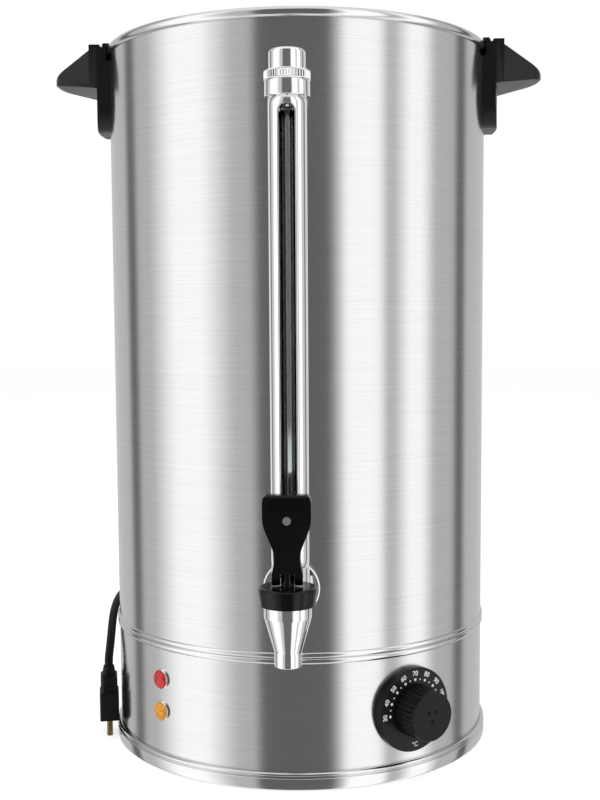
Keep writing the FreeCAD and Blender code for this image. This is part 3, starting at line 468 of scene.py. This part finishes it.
class URN_OT_shell(bpy.types.Operator):
    """Tank wall, its rolled rim, base skirt, the two beads of the seam, and the ring at the foot"""
    bl_idname = "urn.shell"
    bl_label = "Steel Shell"

    def execute(self, context):
        s = context.scene.urn_tank
        inner = s.radius - s.sheet
        centre = s.radius + s.rim_overhang - s.rim_wire
        middle = s.crease + s.rim_wire
        roll = np.radians(np.linspace(-75, 265, 56))
        curl = np.stack([centre + s.rim_wire * np.cos(roll), middle + s.rim_wire * np.sin(roll)], -1)
        high = s.crease + 1.0
        wall = np.vstack([[(inner, s.seam_high)], upright(s.radius, s.seam_high, high, 30), [(inner, high)]])
        piece(mesh_of("tank_shell", turned(wall, 256), close_rows=True),
              finishes["brushed"], "urn", ["tank_wall"])
        curl = np.vstack([curl, [(inner + 0.1, s.crease - 0.3), (s.radius + 0.15, s.crease - 0.3)]])
        piece(mesh_of("rolled_rim", turned(curl, 256), close_rows=True),
              finishes["rim"], "urn")
        low, high = 2.2, s.seam_low + 0.5
        skirt = np.vstack([[(inner, low)], upright(s.radius, low, high, 10), [(inner, high)]])
        piece(mesh_of("base_shell", turned(skirt, 256), close_rows=True),
              finishes["brushed"], "urn", ["base_skirt"])
        t = np.linspace(0, 1, 41)
        bead = np.stack([s.radius + 0.1 + 1.3 * np.abs(np.sin(2 * math.pi * t)) ** 0.6,
                         s.seam_low + (s.seam_high - s.seam_low) * t], -1)
        lip = inner - 0.9
        bead = np.vstack([bead, [(lip, s.seam_high), (lip, s.seam_high - 0.9), (inner, s.seam_low)]])
        piece(mesh_of("seam_beads", turned(bead, 256), close_rows=True),
              finishes["rim"], "urn")
        outer = s.radius + 3.4
        low = s.ring_height - 3.2
        back = s.radius + 0.1
        ring = rounded([(back, 1.0), (outer - 0.2, 1.0), (outer, 2.4), (outer, low - 1.2),
                        (outer - 1.5, low - 0.5), (outer - 1.3, low + 0.1), (outer - 0.3, low + 0.8),
                        (outer - 0.2, low + 2.0), (outer - 1.4, s.ring_height), (back, s.ring_height)],
                       [0.1, 1.0, 1.0, 0.6, 0.4, 0.4, 0.6, 0.8, 0.8, 0.1], closed=True)
        piece(mesh_of("foot_ring", turned(ring, 256), close_rows=True),
              finishes["rim"], "urn", ["bottom_ring"])
        return {"FINISHED"}


class URN_OT_lid(bpy.types.Operator):
    """Drop-in lid with its knob"""
    bl_idname = "urn.lid"
    bl_label = "Lid"

    def execute(self, context):
        (_, _, low), (reach, _, _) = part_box("lid_pan")
        low, reach = low / MM, reach / MM
        (_, _, knob_low), (knob_reach, _, knob_high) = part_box("lid_knob")
        knob_low, knob_reach, knob_high = knob_low / MM, knob_reach / MM, knob_high / MM
        flange = low + 12.0
        apex = knob_low - 0.1
        t = np.linspace(0, 1, 24)
        dome = np.stack([141.0 * (1 - t), flange - 1.2 + (apex - flange + 1.2) * np.sin(math.pi / 2 * t)], -1)
        outside = np.vstack([[(149.1, low + 0.2), (149.2, flange), (reach, flange), (reach, flange + 0.8),
                              (148.8, flange + 0.8), (147.0, flange - 0.8), (143.5, flange - 1.3)], dome])
        inside = dome[::-1][1:] - [0.0, 0.8]
        inside[0, 0] = 0.0
        skirt = [(148.2, flange - 2.2), (148.2, low + 0.2)]
        path = rounded(np.vstack([outside, [(0.0, apex - 0.8)], inside, skirt]), 0.5, closed=True)
        piece(mesh_of("lid_dome", turned(path, 192), close_rows=True),
              finishes["brushed"], "lid", ["lid_pan"])
        path = rounded([(0, knob_low), (11, knob_low), (10, knob_low + 6), (knob_reach - 0.6, knob_low + 10),
                        (knob_reach, knob_low + 13), (knob_reach - 1.5, knob_high - 1.5),
                        (knob_reach - 5, knob_high), (0, knob_high)], [0, 0.5, 3, 2.5, 2.5, 2, 3, 0])
        piece(mesh_of("lid_grip", turned(path, 96)), finishes["gloss"], "lid", ["lid_knob"])
        return {"FINISHED"}


class URN_OT_gauge(bpy.types.Operator):
    """Level gauge: slotted guard, glass, collar, knurled ring and cap"""
    bl_idname = "urn.gauge"
    bl_label = "Level Gauge"

    def execute(self, context):
        s = context.scene.urn_fittings
        shift = np.array([0.0, -s.gauge_out, 0.0])
        low, high = (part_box("gauge_guard")[i][2] / MM for i in (0, 1))
        half = s.slot_width / 2
        slot_low, slot_high = s.slot_low, s.slot_high
        bend = half * (1 - np.cos(np.linspace(0, math.pi / 2, 14)))
        heights = np.concatenate([[low, slot_low - 0.05], slot_low + bend, slot_high - bend[::-1],
                                  [slot_high + 0.05, high]])
        end = np.minimum(heights - slot_low, slot_high - heights)
        inside = np.clip(half - end, 0, half)
        gap = np.where(end >= 0, np.sqrt(np.maximum(half ** 2 - inside ** 2, 0)), 0.0)
        edge = np.arcsin(gap / s.guard_radius)[:, None]
        t = np.linspace(0, 1, 73)[None, :]
        a = -math.pi / 2 + edge + (2 * math.pi - 2 * edge) * t
        r = s.guard_radius
        grid = np.stack([r * np.cos(a), r * np.sin(a), heights[:, None] + 0 * a], -1) + shift
        guard = piece(mesh_of("gauge_slotted_guard", grid, close_columns=False),
                      finishes["chrome"], "urn", ["gauge_guard"])
        wall = guard.modifiers.new("Wall", "SOLIDIFY")
        wall.thickness = 1.1 * MM
        wall.offset = -1
        wall.use_even_offset = True
        (_, _, g_low), (_, _, g_high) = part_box("gauge_glass")
        g_low, g_high, bore, outside = g_low / MM, g_high / MM, 4.2, 5.6
        path = [(bore, g_low), (outside, g_low), (outside, g_high), (bore, g_high)]
        piece(mesh_of("gauge_tube", turned(path, 64) + shift, close_rows=True),
              finishes["glass"], "urn", ["gauge_glass"])
        (_, _, c_low), (_, _, c_high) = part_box("gauge_head")
        c_low, c_high = c_low / MM, c_high / MM
        rims = rounded([(5.9, c_low), (16.0, c_low), (16.0, c_high), (5.9, c_high)], 0.7, closed=True)
        arm = rounded([(0, 140.0), (5.1, 140.0), (5.1, s.gauge_out - 8), (0, s.gauge_out - 8)], 0.3)
        piece(joined("gauge_collar", [
            mesh_of("ring", turned(rims, 128) + shift, close_rows=True),
            mesh_of("arm", out_of_wall(turned(arm, 64), 0, (c_low + c_high) / 2))]),
            finishes["chrome"], "urn", ["gauge_head"])
        (_, _, k_low), (_, _, k_high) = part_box("gauge_knurled_ring")
        k_low, k_high = k_low / MM, k_high / MM

        def knurl(r, h, a):
            """r less 0.75 |cos(n a / 2)|^1.5, which stops 0.8 short of the ring's two edges."""
            fade = np.clip(np.minimum(h - k_low - 0.8, k_high - 0.8 - h) / 0.5, 0, 1)
            return np.where(r > 15, r - 0.75 * fade * np.abs(np.cos(s.knurls * a / 2)) ** 1.5, r)

        side = upright(16.4, k_low + 0.5, k_high - 0.5, 16)
        path = np.vstack([[(7.9, k_low), (15.9, k_low)], side, [(15.9, k_high), (7.9, k_high)]])
        piece(mesh_of("gauge_knurl", turned(path, s.knurls * 8, knurl) + shift, close_rows=True),
              finishes["chrome"], "urn", ["gauge_knurled_ring"])
        (_, _, t_low), (_, _, t_high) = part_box("gauge_cap")
        t_low, t_high = t_low / MM, t_high / MM
        shoulder = t_high - 1.55
        t = np.linspace(0, math.pi / 2, 10)
        button = np.stack([5.0 * np.cos(t), shoulder + 1.5 * np.sin(t)], -1)
        side = rounded([(0, t_low), (12.6, t_low), (13.0, t_low + 0.5), (13.0, shoulder - 1.8),
                        (11.6, shoulder), (6.0, shoulder), (5.0, shoulder + 0.05)],
                       [0, 0.3, 0.3, 0.7, 0.7, 0.2, 0])
        piece(mesh_of("gauge_cap_turned", turned(np.vstack([side, button[1:]]), 128) + shift),
              finishes["chrome"], "urn", ["gauge_cap"])
        return {"FINISHED"}


class URN_OT_tap(bpy.types.Operator):
    """Tap body, bonnet and lever"""
    bl_idname = "urn.tap"
    bl_label = "Tap"

    def execute(self, context):
        s = context.scene.urn_fittings
        shift = np.array([0.0, -s.tap_out, 0.0])
        gauge = np.array([0.0, -s.gauge_out, 0.0])
        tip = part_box("tap_body")[0][2] / MM
        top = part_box("tap_bonnet")[0][2] / MM
        spout = rounded([(0, tip + 24), (7.3, tip + 24), (7.3, tip + 0.6), (8.0, tip), (9.2, tip),
                         (9.5, tip + 0.4), (9.5, tip + 10.1), (16.4, tip + 34.2), (16.5, tip + 34.6),
                         (16.5, top), (0, top)],
                        [0, 0.3, 0.3, 0.2, 0.2, 0.2, 0.6, 0.3, 0.3, 0.1, 0])
        arm = rounded([(0, 135), (10.0, 135), (10.0, 157), (10.6, 157.2), (10.6, 214), (0, 214)], 0.2)
        collar = rounded([(10, 156.6), (21.0, 156.6), (21.0, 159.0), (20.2, 159.6), (12.0, 159.6),
                          (10, 159.6)], 0.5)
        riser_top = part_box("tap_body")[1][2] / MM
        t = np.linspace(-math.pi / 2, 0, 24)
        r = s.guard_radius
        ball = np.stack([r * np.cos(t), s.arm_height + r * np.sin(t)], -1)
        socket = riser_top - 8
        riser = rounded([(r, s.arm_height), (r, riser_top - 1), (r, riser_top - 0.6), (13.3, riser_top),
                         (7.9, riser_top), (7.9, socket), (0, socket)], [0, 0, 0.2, 0.2, 0.3, 0, 0])
        riser = np.vstack([ball, riser[1:]])
        piece(joined("tap_casting", [
            mesh_of("spout", turned(spout, 160) + shift),
            mesh_of("arm", out_of_wall(turned(arm, 96), 0, s.arm_height)),
            mesh_of("collar", out_of_wall(turned(collar, 128), 0, s.arm_height)),
            mesh_of("riser", turned(riser, 128) + gauge)]),
            finishes["chrome"], "urn", ["tap_body"])
        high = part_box("tap_bonnet")[1][2] / MM
        ring = high - 13.2
        bonnet = rounded([(8.6, top), (19.3, top), (20.6, ring - 1.8), (19.2, ring + 0.2), (8.5, ring),
                          (4.6, ring + 0.3), (4.6, high), (2.6, high), (2.6, ring - 1.7), (8.6, ring - 1.7)],
                         [0, 0.6, 1.6, 1.6, 0.8, 0.6, 0.5, 0, 0, 0], closed=True)
        piece(mesh_of("tap_bonnet_moulded", turned(bonnet, 160) + shift, close_rows=True),
              finishes["gloss"], "urn", ["tap_bonnet"])
        lever = piece(softened("tap_lever"), finishes["gloss"], "lever", ["tap_lever"])
        bevelled(lever, 1.1)
        return {"FINISHED"}


class URN_OT_handles(bpy.types.Operator):
    """Both lifting handles"""
    bl_idname = "urn.handles"
    bl_label = "Handles"

    def execute(self, context):
        for node in ("handle_left", "handle_right"):
            grip = piece(softened(node), finishes["plastic"], "urn", [node])
            bevelled(grip, 1.6)
        return {"FINISHED"}


class URN_OT_dial(bpy.types.Operator):
    """Thermostat scale plate, its printed marks and the fluted knob"""
    bl_idname = "urn.dial"
    bl_label = "Thermostat Dial"

    def execute(self, context):
        s = context.scene.urn_fittings
        front, behind = s.dial_front, 150.0
        plate = rounded([(0, behind), (s.dial_radius, behind), (s.dial_radius, front - 0.6),
                         (s.dial_radius - 0.6, front), (0, front)], [0, 0, 0.4, 0.5, 0])
        radii = np.linspace(s.dial_radius, 0.0, 14)
        back = np.stack([radii[::-1], np.full(14, behind)], -1)
        plate = np.vstack([back[:-1], plate[1:]])
        grid = out_of_wall(turned(plate, 128), s.dial_bearing, s.dial_height, trim=WALL_FACE)
        piece(mesh_of("dial_scale", grid),
              finishes["plastic"], "urn", ["dial_plate"])
        piece(self.marks(s, front), finishes["ink"], "urn")
        low = front + 0.8
        high = low + s.knob_length
        bearing, radius, count = s.dial_bearing, s.knob_radius, s.knob_flutes

        def flutes(r, h, a):
            """r less grooves 1.0 deep, round in section, that fade out towards the face."""
            fade = np.clip((high - 2.4 - h) / 1.2, 0, 1)
            groove = np.clip(1 - np.abs(np.mod(a * count / (2 * math.pi), 1) - 0.5) / 0.28, 0, 1)
            return np.where(r > radius - 3, r - 1.0 * fade * np.sqrt(groove), r)

        side = np.stack([radius - 1.4 * np.linspace(0, 1, 20), np.linspace(low, high - 1.0, 20)], -1)
        face = np.stack([np.linspace(radius - 2.6, 0, 72), np.full(72, high)], -1)
        edge = rounded([(radius - 1.4, high - 1.0), (radius - 1.45, high), (radius - 2.6, high)], 1.0)[1:-1]
        path = np.vstack([[(0, low + 5), (17, low + 5), (17, low)], side, edge, face])
        grid = turned(path, count * 8, flutes)
        x, y, z = np.moveaxis(grid, -1, 0)
        pit_radius, pit_depth = 1.5, 1.1
        for px, py in ((-3.2, 3.4), (3.2, 3.4), (0.0, -3.6)):
            near = np.clip(1 - ((x - px) ** 2 + (y - py) ** 2) / pit_radius ** 2, 0, 1)
            z = np.where(z > high - 0.5, z - pit_depth * np.sqrt(near), z)
        grid = np.stack([x, y, z], -1)
        piece(mesh_of("dial_grip", out_of_wall(grid, bearing, s.dial_height)),
              finishes["matt"], "dial", ["dial_knob"])
        return {"FINISHED"}

    def marks(self, s, front):
        """Numbers and dots along an arc of the plate, and the degree sign under the knob."""
        first, step, number_reach, dot_reach = 183.0, -23.4, 28.0, 23.4
        signs = [(str(30 + 10 * i), first + step * i, number_reach, 4.0 if i == 7 else 5.2)
                 for i in range(8)]
        meshes = []
        for text, angle, reach, size in signs + [("°C", -90.0, 27.0, 5.0)]:
            font = bpy.data.curves.new("sign", "FONT")
            font.body = text
            font.size = size * MM
            font.extrude = 0.05 * MM
            font.offset = 0.09 * MM
            font.align_x = "CENTER"
            font.align_y = "CENTER"
            writer = bpy.data.objects.new("sign", font)
            mesh = bpy.data.meshes.new_from_object(writer)
            bpy.data.objects.remove(writer)
            turn = Matrix.Rotation(math.radians(angle - 90 if text[0].isdigit() else 0), 4, "Z")
            a = math.radians(angle)
            place = (reach * MM * math.cos(a), reach * MM * math.sin(a), front * MM)
            mesh.transform(Matrix.Translation(place) @ turn)
            meshes.append(mesh)
        for i in range(15):
            a = math.radians(first + step * i / 2)
            r = 0.65 if i % 2 else 1.1
            low, high = front - 0.1, front + 0.05
            dot = turned(rounded([(0, low), (r, low), (r, high), (0, high)], 0.02), 16)
            dot[..., 0] += dot_reach * math.cos(a)
            dot[..., 1] += dot_reach * math.sin(a)
            meshes.append(mesh_of("dot", dot))
        b = math.radians(s.dial_bearing)
        stand = Matrix(((math.cos(b), 0, math.sin(b), 0), (math.sin(b), 0, -math.cos(b), 0),
                        (0, 1, 0, s.dial_height * MM), (0, 0, 0, 1)))
        whole = joined("dial_marks", meshes)
        whole.transform(stand)
        return whole


class URN_OT_lamps(bpy.types.Operator):
    """Pilot lamps: lenses and bezels"""
    bl_idname = "urn.lamps"
    bl_label = "Pilot Lamps"

    def execute(self, context):
        bearing = context.scene.urn_fittings.lamp_bearing
        rings = []
        for node, height, colour in (("heat_lamp_lens", 72.5, "red"), ("warm_lamp_lens", 47.2, "amber")):
            t = np.linspace(0, math.pi / 2, 14)
            dome = np.stack([7.3 * np.cos(t), 156.4 + 3.2 * np.sin(t)], -1)
            path = np.vstack([[(0, 141), (6.0, 141), (6.0, 156.2), (7.3, 156.2)], dome])
            piece(mesh_of(node + "_domed", out_of_wall(turned(path, 64), bearing, height)),
                  finishes[colour], "urn", [node])
            ring = rounded([(6.2, 150), (8.0, 150), (8.0, 156.4), (7.6, 156.8), (7.4, 156.8), (7.4, 156.1),
                            (6.2, 156.1)], [0, 0, 0.3, 0.1, 0.1, 0, 0], closed=True)
            grid = out_of_wall(turned(ring, 96), bearing, height, trim=WALL_FACE)
            rings.append(mesh_of("bezel", grid, close_rows=True))
        piece(joined("lamp_rings", rings), finishes["chrome"], "urn", ["lamp_bezels"])
        return {"FINISHED"}


# The gland's bearing, height, flange face and relief's end, the last two from the axis
GLAND_BEARING, GLAND_HEIGHT, GLAND_FACE, GLAND_END = 160.0, 40.0, 158.9, 178.9

# Points x, y, z of the lead, from the gland's relief down to the coil
gland_path = (
    (65.667, 180.419, 40.0), (70.6, 194.0, 35.5), (74.0, 208.2, 24.5), (74.0, 221.8, 14.5),
    (70.0, 236.0, 7.0), (61.5, 248.5, 4.2), (49.0, 258.5, 3.6), (33.0, 264.0, 3.6),
    (13.0, 265.2, 3.6), (-10.0, 265.1, 3.6))
# From the coil over the floor to the wall
floor_path = (
    (-82.0, 225.5, 10.6), (-91.5, 208.0, 7.0), (-101.0, 190.5, 4.4), (-108.5, 172.5, 3.6))
# Up over the hook and down to the plug: bearing, distance from the axis, height
wall_path = (
    (-143.2, 192.0, 3.6), (-137.2, 183.0, 5.0), (-131.6, 176.0, 11.5), (-127.2, 171.0, 22.5),
    (-124.0, 167.5, 37.0), (-122.1, 165.5, 54.0), (-120.5, 164.0, 71.5), (-118.0, 163.0, 88.0),
    (-114.0, 162.0, 101.0), (-108.7, 161.8, 108.5), (-103.1, 161.8, 110.0), (-97.8, 161.8, 108.5),
    (-92.9, 161.8, 105.5), (-88.3, 161.8, 101.0), (-84.1, 162.0, 94.5), (-81.0, 162.6, 85.5),
    (-79.2, 163.8, 75.0), (-78.5, 165.3, 65.0), (-78.5, 165.3, 56.0))


def on_wall(bearing, reach, height):
    """The point at a bearing, a distance from the axis and a height."""
    a = math.radians(bearing)
    return reach * math.sin(a), -reach * math.cos(a), height


def coil_turns(s):
    """The coil's points: reach and angle grow evenly, and the height steps up a layer half way.

    The reach shrinks from 44.5 to the inner turn and grows again, by how far round a point is
    from the middle, and the climb is the smooth step 3c^2 - 2c^3 over the middle half turn.
    """
    half_turns, layer_turns, outer = 8 + 1 / 3, 2.0, 44.5
    pitch = s.diameter + s.turn_gap
    middle, soft = half_turns / 2, 0.12
    a = np.linspace(0, half_turns, 101)
    bend = np.sqrt(((a - middle) / middle) ** 2 + soft ** 2) - soft
    fold = 1 - bend / (math.sqrt(1 + soft ** 2) - soft)
    reach = outer - layer_turns * pitch * fold
    climb = np.clip(a - middle + 0.5, 0, 1)
    angle = math.pi / 2 + math.pi * a
    low = s.diameter / 2 + 0.1
    return np.stack([-34.0 + reach * np.cos(angle), 220.0 + reach * np.sin(angle),
                     low + pitch * (3 * climb ** 2 - 2 * climb ** 3)], -1)


class URN_OT_lead(bpy.types.Operator):
    """Mains lead on one curve from the gland to the plug, and the gland's relief"""
    bl_idname = "urn.lead"
    bl_label = "Mains Lead"

    def execute(self, context):
        s = context.scene.urn_lead
        start = on_wall(GLAND_BEARING, GLAND_END, GLAND_HEIGHT)
        climb = [on_wall(*p) for p in wall_path]
        route = np.vstack([[start], gland_path, coil_turns(s), floor_path, climb]) * MM
        line = bpy.data.curves.new("mains_lead", "CURVE")
        line.dimensions = "3D"
        spline = line.splines.new("NURBS")
        spline.points.add(len(route) - 1)
        spline.points.foreach_set("co", np.hstack([route, np.ones((len(route), 1))]).ravel())
        spline.order_u = 3
        spline.use_endpoint_u = True
        spline.resolution_u = 6
        line.bevel_depth = s.diameter / 2 * MM
        line.bevel_resolution = 6
        line.use_fill_caps = True
        line.materials.append(finishes["rubber"])
        lead = bpy.data.objects.new("mains_lead", line)
        context.scene.collection.objects.link(lead)
        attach(lead, "urn")
        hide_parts("lead_gland_run", "lead_coil", "lead_plug_run")
        ribs = GLAND_FACE + np.linspace(0, 20, 61)
        t = np.linspace(0, 1, 61)
        relief = np.stack([6.6 - 2.0 * t - 0.5 * (np.sin(t * 10 * math.pi) > 0.3) * (t < 0.95), ribs], -1)
        flange = rounded([(6.0, 152), (9.0, 152), (9.0, 158.4), (8.4, GLAND_FACE), (6.6, GLAND_FACE)], 0.4)
        path = np.vstack([[(0, 145), (6.0, 145), (6.0, 152)], flange[1:], relief[1:],
                          [(3.6, GLAND_END), (0, 178.8)]])
        piece(mesh_of("lead_gland", out_of_wall(turned(path, 64), GLAND_BEARING, GLAND_HEIGHT)),
              finishes["rubber"], "urn", ["cord_gland"])
        return {"FINISHED"}


class URN_OT_stage(bpy.types.Operator):
    """Camera, floor, lamps and the studio that the steel mirrors"""
    bl_idname = "urn.stage"
    bl_label = "Stage"

    def execute(self, context):
        scene = context.scene
        # Focal length in the pixels of the picture's height, then the camera's place and turn
        focal, picture, sensor = 1181.6, 800.0, 36.0
        distance, height, tilt = 1.0111, 0.3473, 4.97
        bearing, roll = math.radians(2.25), math.radians(-0.35)
        lens = bpy.data.cameras.new("camera")
        lens.sensor_fit = "VERTICAL"
        lens.sensor_height = sensor
        lens.lens = focal * sensor / picture
        lens.shift_x = 0.00125
        lens.shift_y = 0.03325
        lens.clip_end = 30.0
        camera = bpy.data.objects.new("camera", lens)
        scene.collection.objects.link(camera)
        camera.location = (distance * math.sin(bearing), -distance * math.cos(bearing), height)
        turn = Euler((math.radians(90 - tilt), 0, bearing)).to_matrix() @ Matrix.Rotation(roll, 3, "Z")
        camera.rotation_euler = turn.to_euler()
        scene.camera = camera
        scene.view_settings.view_transform = "Standard"
        self.floor(scene)
        self.studio(scene)
        self.world(scene)
        for name, place, aim, size, power in (
                ("left_softbox", (-1.9, -1.5, 1.9), (0, 0, 0.3), 1.6, 26.0),
                ("right_softbox", (2.1, -1.2, 1.7), (0, 0, 0.3), 1.6, 24.0),
                ("top_softbox", (0.1, 0.2, 2.6), (0, 0, 0), 2.2, 22.0)):
            self.lamp(scene, name, place, aim, size, power)
        return {"FINISHED"}

    def lamp(self, scene, name, place, aim, size, power):
        """A square soft lamp that faces a point."""
        light = bpy.data.lights.new(name, "AREA")
        light.size = size
        light.energy = power
        lamp = bpy.data.objects.new(name, light)
        scene.collection.objects.link(lamp)
        lamp.location = place
        away = Vector(place) - Vector(aim)
        lamp.rotation_euler = away.to_track_quat("Z", "Y").to_euler()
        lamp.visible_glossy = False

    def floor(self, scene):
        """A wide pale floor. What the camera sees is partly its lit colour and partly plain white."""
        mesh = bpy.data.meshes.new("floor")
        half = 8.0
        corners = [(-half, -half, 0), (half, -half, 0), (half, half, 0), (-half, half, 0)]
        mesh.from_pydata(corners, [], [(0, 1, 2, 3)])
        floor = bpy.data.objects.new("floor", mesh)
        scene.collection.objects.link(floor)
        paint = Finish("floor_paint", {"Roughness": 0.6, "Specular IOR Level": 0.2})
        paint.set("Base Color", paint.colour(paint.noise(3.0), (0.86, 0.86, 0.86), (0.9, 0.9, 0.9)))
        glow = paint.node("ShaderNodeEmission", None, {"Color": (1, 1, 1, 1), "Strength": 1.25})
        seen = paint.node("ShaderNodeLightPath", output=0)
        mix = paint.node("ShaderNodeMixShader", None, {0: seen * 0.6, 2: glow})
        paint.tree.links.new(paint.shader.outputs[0], mix.socket.node.inputs[1])
        paint.tree.links.new(mix.socket, paint.tree.nodes["Material Output"].inputs["Surface"])
        mesh.materials.append(paint.material)
        floor.visible_glossy = False

    def studio(self, scene):
        """A ring of bright and dark screens round the urn, seen only in reflections and through glass.

        A point at angle a on it is (reach sin a, -reach cos a), and its brightness follows a ramp of a.
        """
        reach, foot, head, strength = 3000, -4000, 4200, 1.6
        a = np.radians(np.linspace(-180, 180, 145))[None, :]
        z = np.linspace(foot, head, 3)[:, None]
        grid = np.stack([reach * np.sin(a) + 0 * z, -reach * np.cos(a) + 0 * z, z + 0 * a], -1)
        mesh = mesh_of("studio_screens", grid, close_columns=False)
        screens = bpy.data.objects.new("studio_screens", mesh)
        scene.collection.objects.link(screens)
        light = Finish("screen_light", {})
        spot = light.node("ShaderNodeTexCoord", output=3)
        x = light.node("ShaderNodeSeparateXYZ", None, {0: spot}, output=0)
        y = light.node("ShaderNodeSeparateXYZ", None, {0: spot}, output=1)
        turn = light.node("ShaderNodeMath", {"operation": "ARCTAN2"}, {0: x, 1: 0 - y})
        # Each screen's bearing, half its width and the fade at its edges, in degrees, and its brightness
        dark, bright, room = 0.1, 0.9, 0.4
        rig = ((-115, 3, 5, dark), (-65, 10, 20, bright), (0, 20, 5, dark),
               (40, 10, 5, bright), (75, 5, 10, bright), (115, 3, 5, dark))
        stops = [(-180, room)]
        for bearing, half, fade, grey in rig:
            stops += [(bearing - half - fade, room), (bearing - half, grey),
                      (bearing + half, grey), (bearing + half + fade, room)]
        stops.append((180, room))
        ramp = light.node("ShaderNodeValToRGB", {"stops": [((d + 180) / 360, v) for d, v in stops]},
                          {0: turn * (1 / (2 * math.pi)) + 0.5})
        glow = light.node("ShaderNodeEmission", None, {"Color": ramp, "Strength": strength})
        light.tree.links.new(glow.socket, light.tree.nodes["Material Output"].inputs["Surface"])
        mesh.materials.append(light.material)
        screens.visible_camera = False
        screens.visible_diffuse = False
        screens.visible_shadow = False

    def world(self, scene):
        """White where the camera, a mirror or glass sees it, and a softer fill for the rest."""
        world = bpy.data.worlds.new("studio_air")
        world.use_nodes = True
        scene.world = world
        tree = world.node_tree
        path = tree.nodes.new("ShaderNodeLightPath")
        seen = [path.outputs[name] for name in ("Is Camera Ray", "Is Glossy Ray", "Is Transmission Ray")]
        total = seen[0]
        for extra in seen[1:]:
            add = tree.nodes.new("ShaderNodeMath")
            add.operation = "MAXIMUM"
            tree.links.new(total, add.inputs[0])
            tree.links.new(extra, add.inputs[1])
            total = add.outputs[0]
        level = tree.nodes.new("ShaderNodeMapRange")
        tree.links.new(total, level.inputs["Value"])
        level.inputs["To Min"].default_value = 0.6
        level.inputs["To Max"].default_value = 1.0
        air = tree.nodes["Background"]
        air.inputs["Color"].default_value = (1, 1, 1, 1)
        tree.links.new(level.outputs[0], air.inputs["Strength"])


class URN_PT_builder(bpy.types.Panel):
    """The urn's sizes and the pieces it is built from"""
    bl_idname = "URN_PT_builder"
    bl_label = "Hot Water Urn"
    bl_space_type = "VIEW_3D"
    bl_region_type = "UI"
    bl_category = "Urn"

    def draw(self, context):
        for group in property_groups:
            sizes = getattr(context.scene, group)
            for name in sizes.bl_rna.properties.keys():
                if name not in ("rna_type", "name"):
                    self.layout.prop(sizes, name)
        for operator in builders:
            self.layout.operator(operator.bl_idname)


builders = (URN_OT_stage, URN_OT_lead, URN_OT_shell, URN_OT_lid, URN_OT_gauge, URN_OT_tap,
            URN_OT_handles, URN_OT_dial, URN_OT_lamps)
property_groups = {"urn_tank": UrnTankSizes, "urn_fittings": UrnFittingSizes, "urn_lead": UrnLeadSizes,
                   "urn_colours": UrnColours}


def register():
    for kind in (*property_groups.values(), *builders, URN_PT_builder):
        bpy.utils.register_class(kind)
    for name, kind in property_groups.items():
        setattr(bpy.types.Scene, name, PointerProperty(type=kind))


def unregister():
    for name in property_groups:
        delattr(bpy.types.Scene, name)
    for kind in (URN_PT_builder, *reversed(builders), *property_groups.values()):
        bpy.utils.unregister_class(kind)


def main():
    register()
    make_finishes(bpy.context.scene.urn_colours)
    for operator in builders:
        group, name = operator.bl_idname.split(".")
        getattr(getattr(bpy.ops, group), name)()


if __name__ == "__main__":
    main()
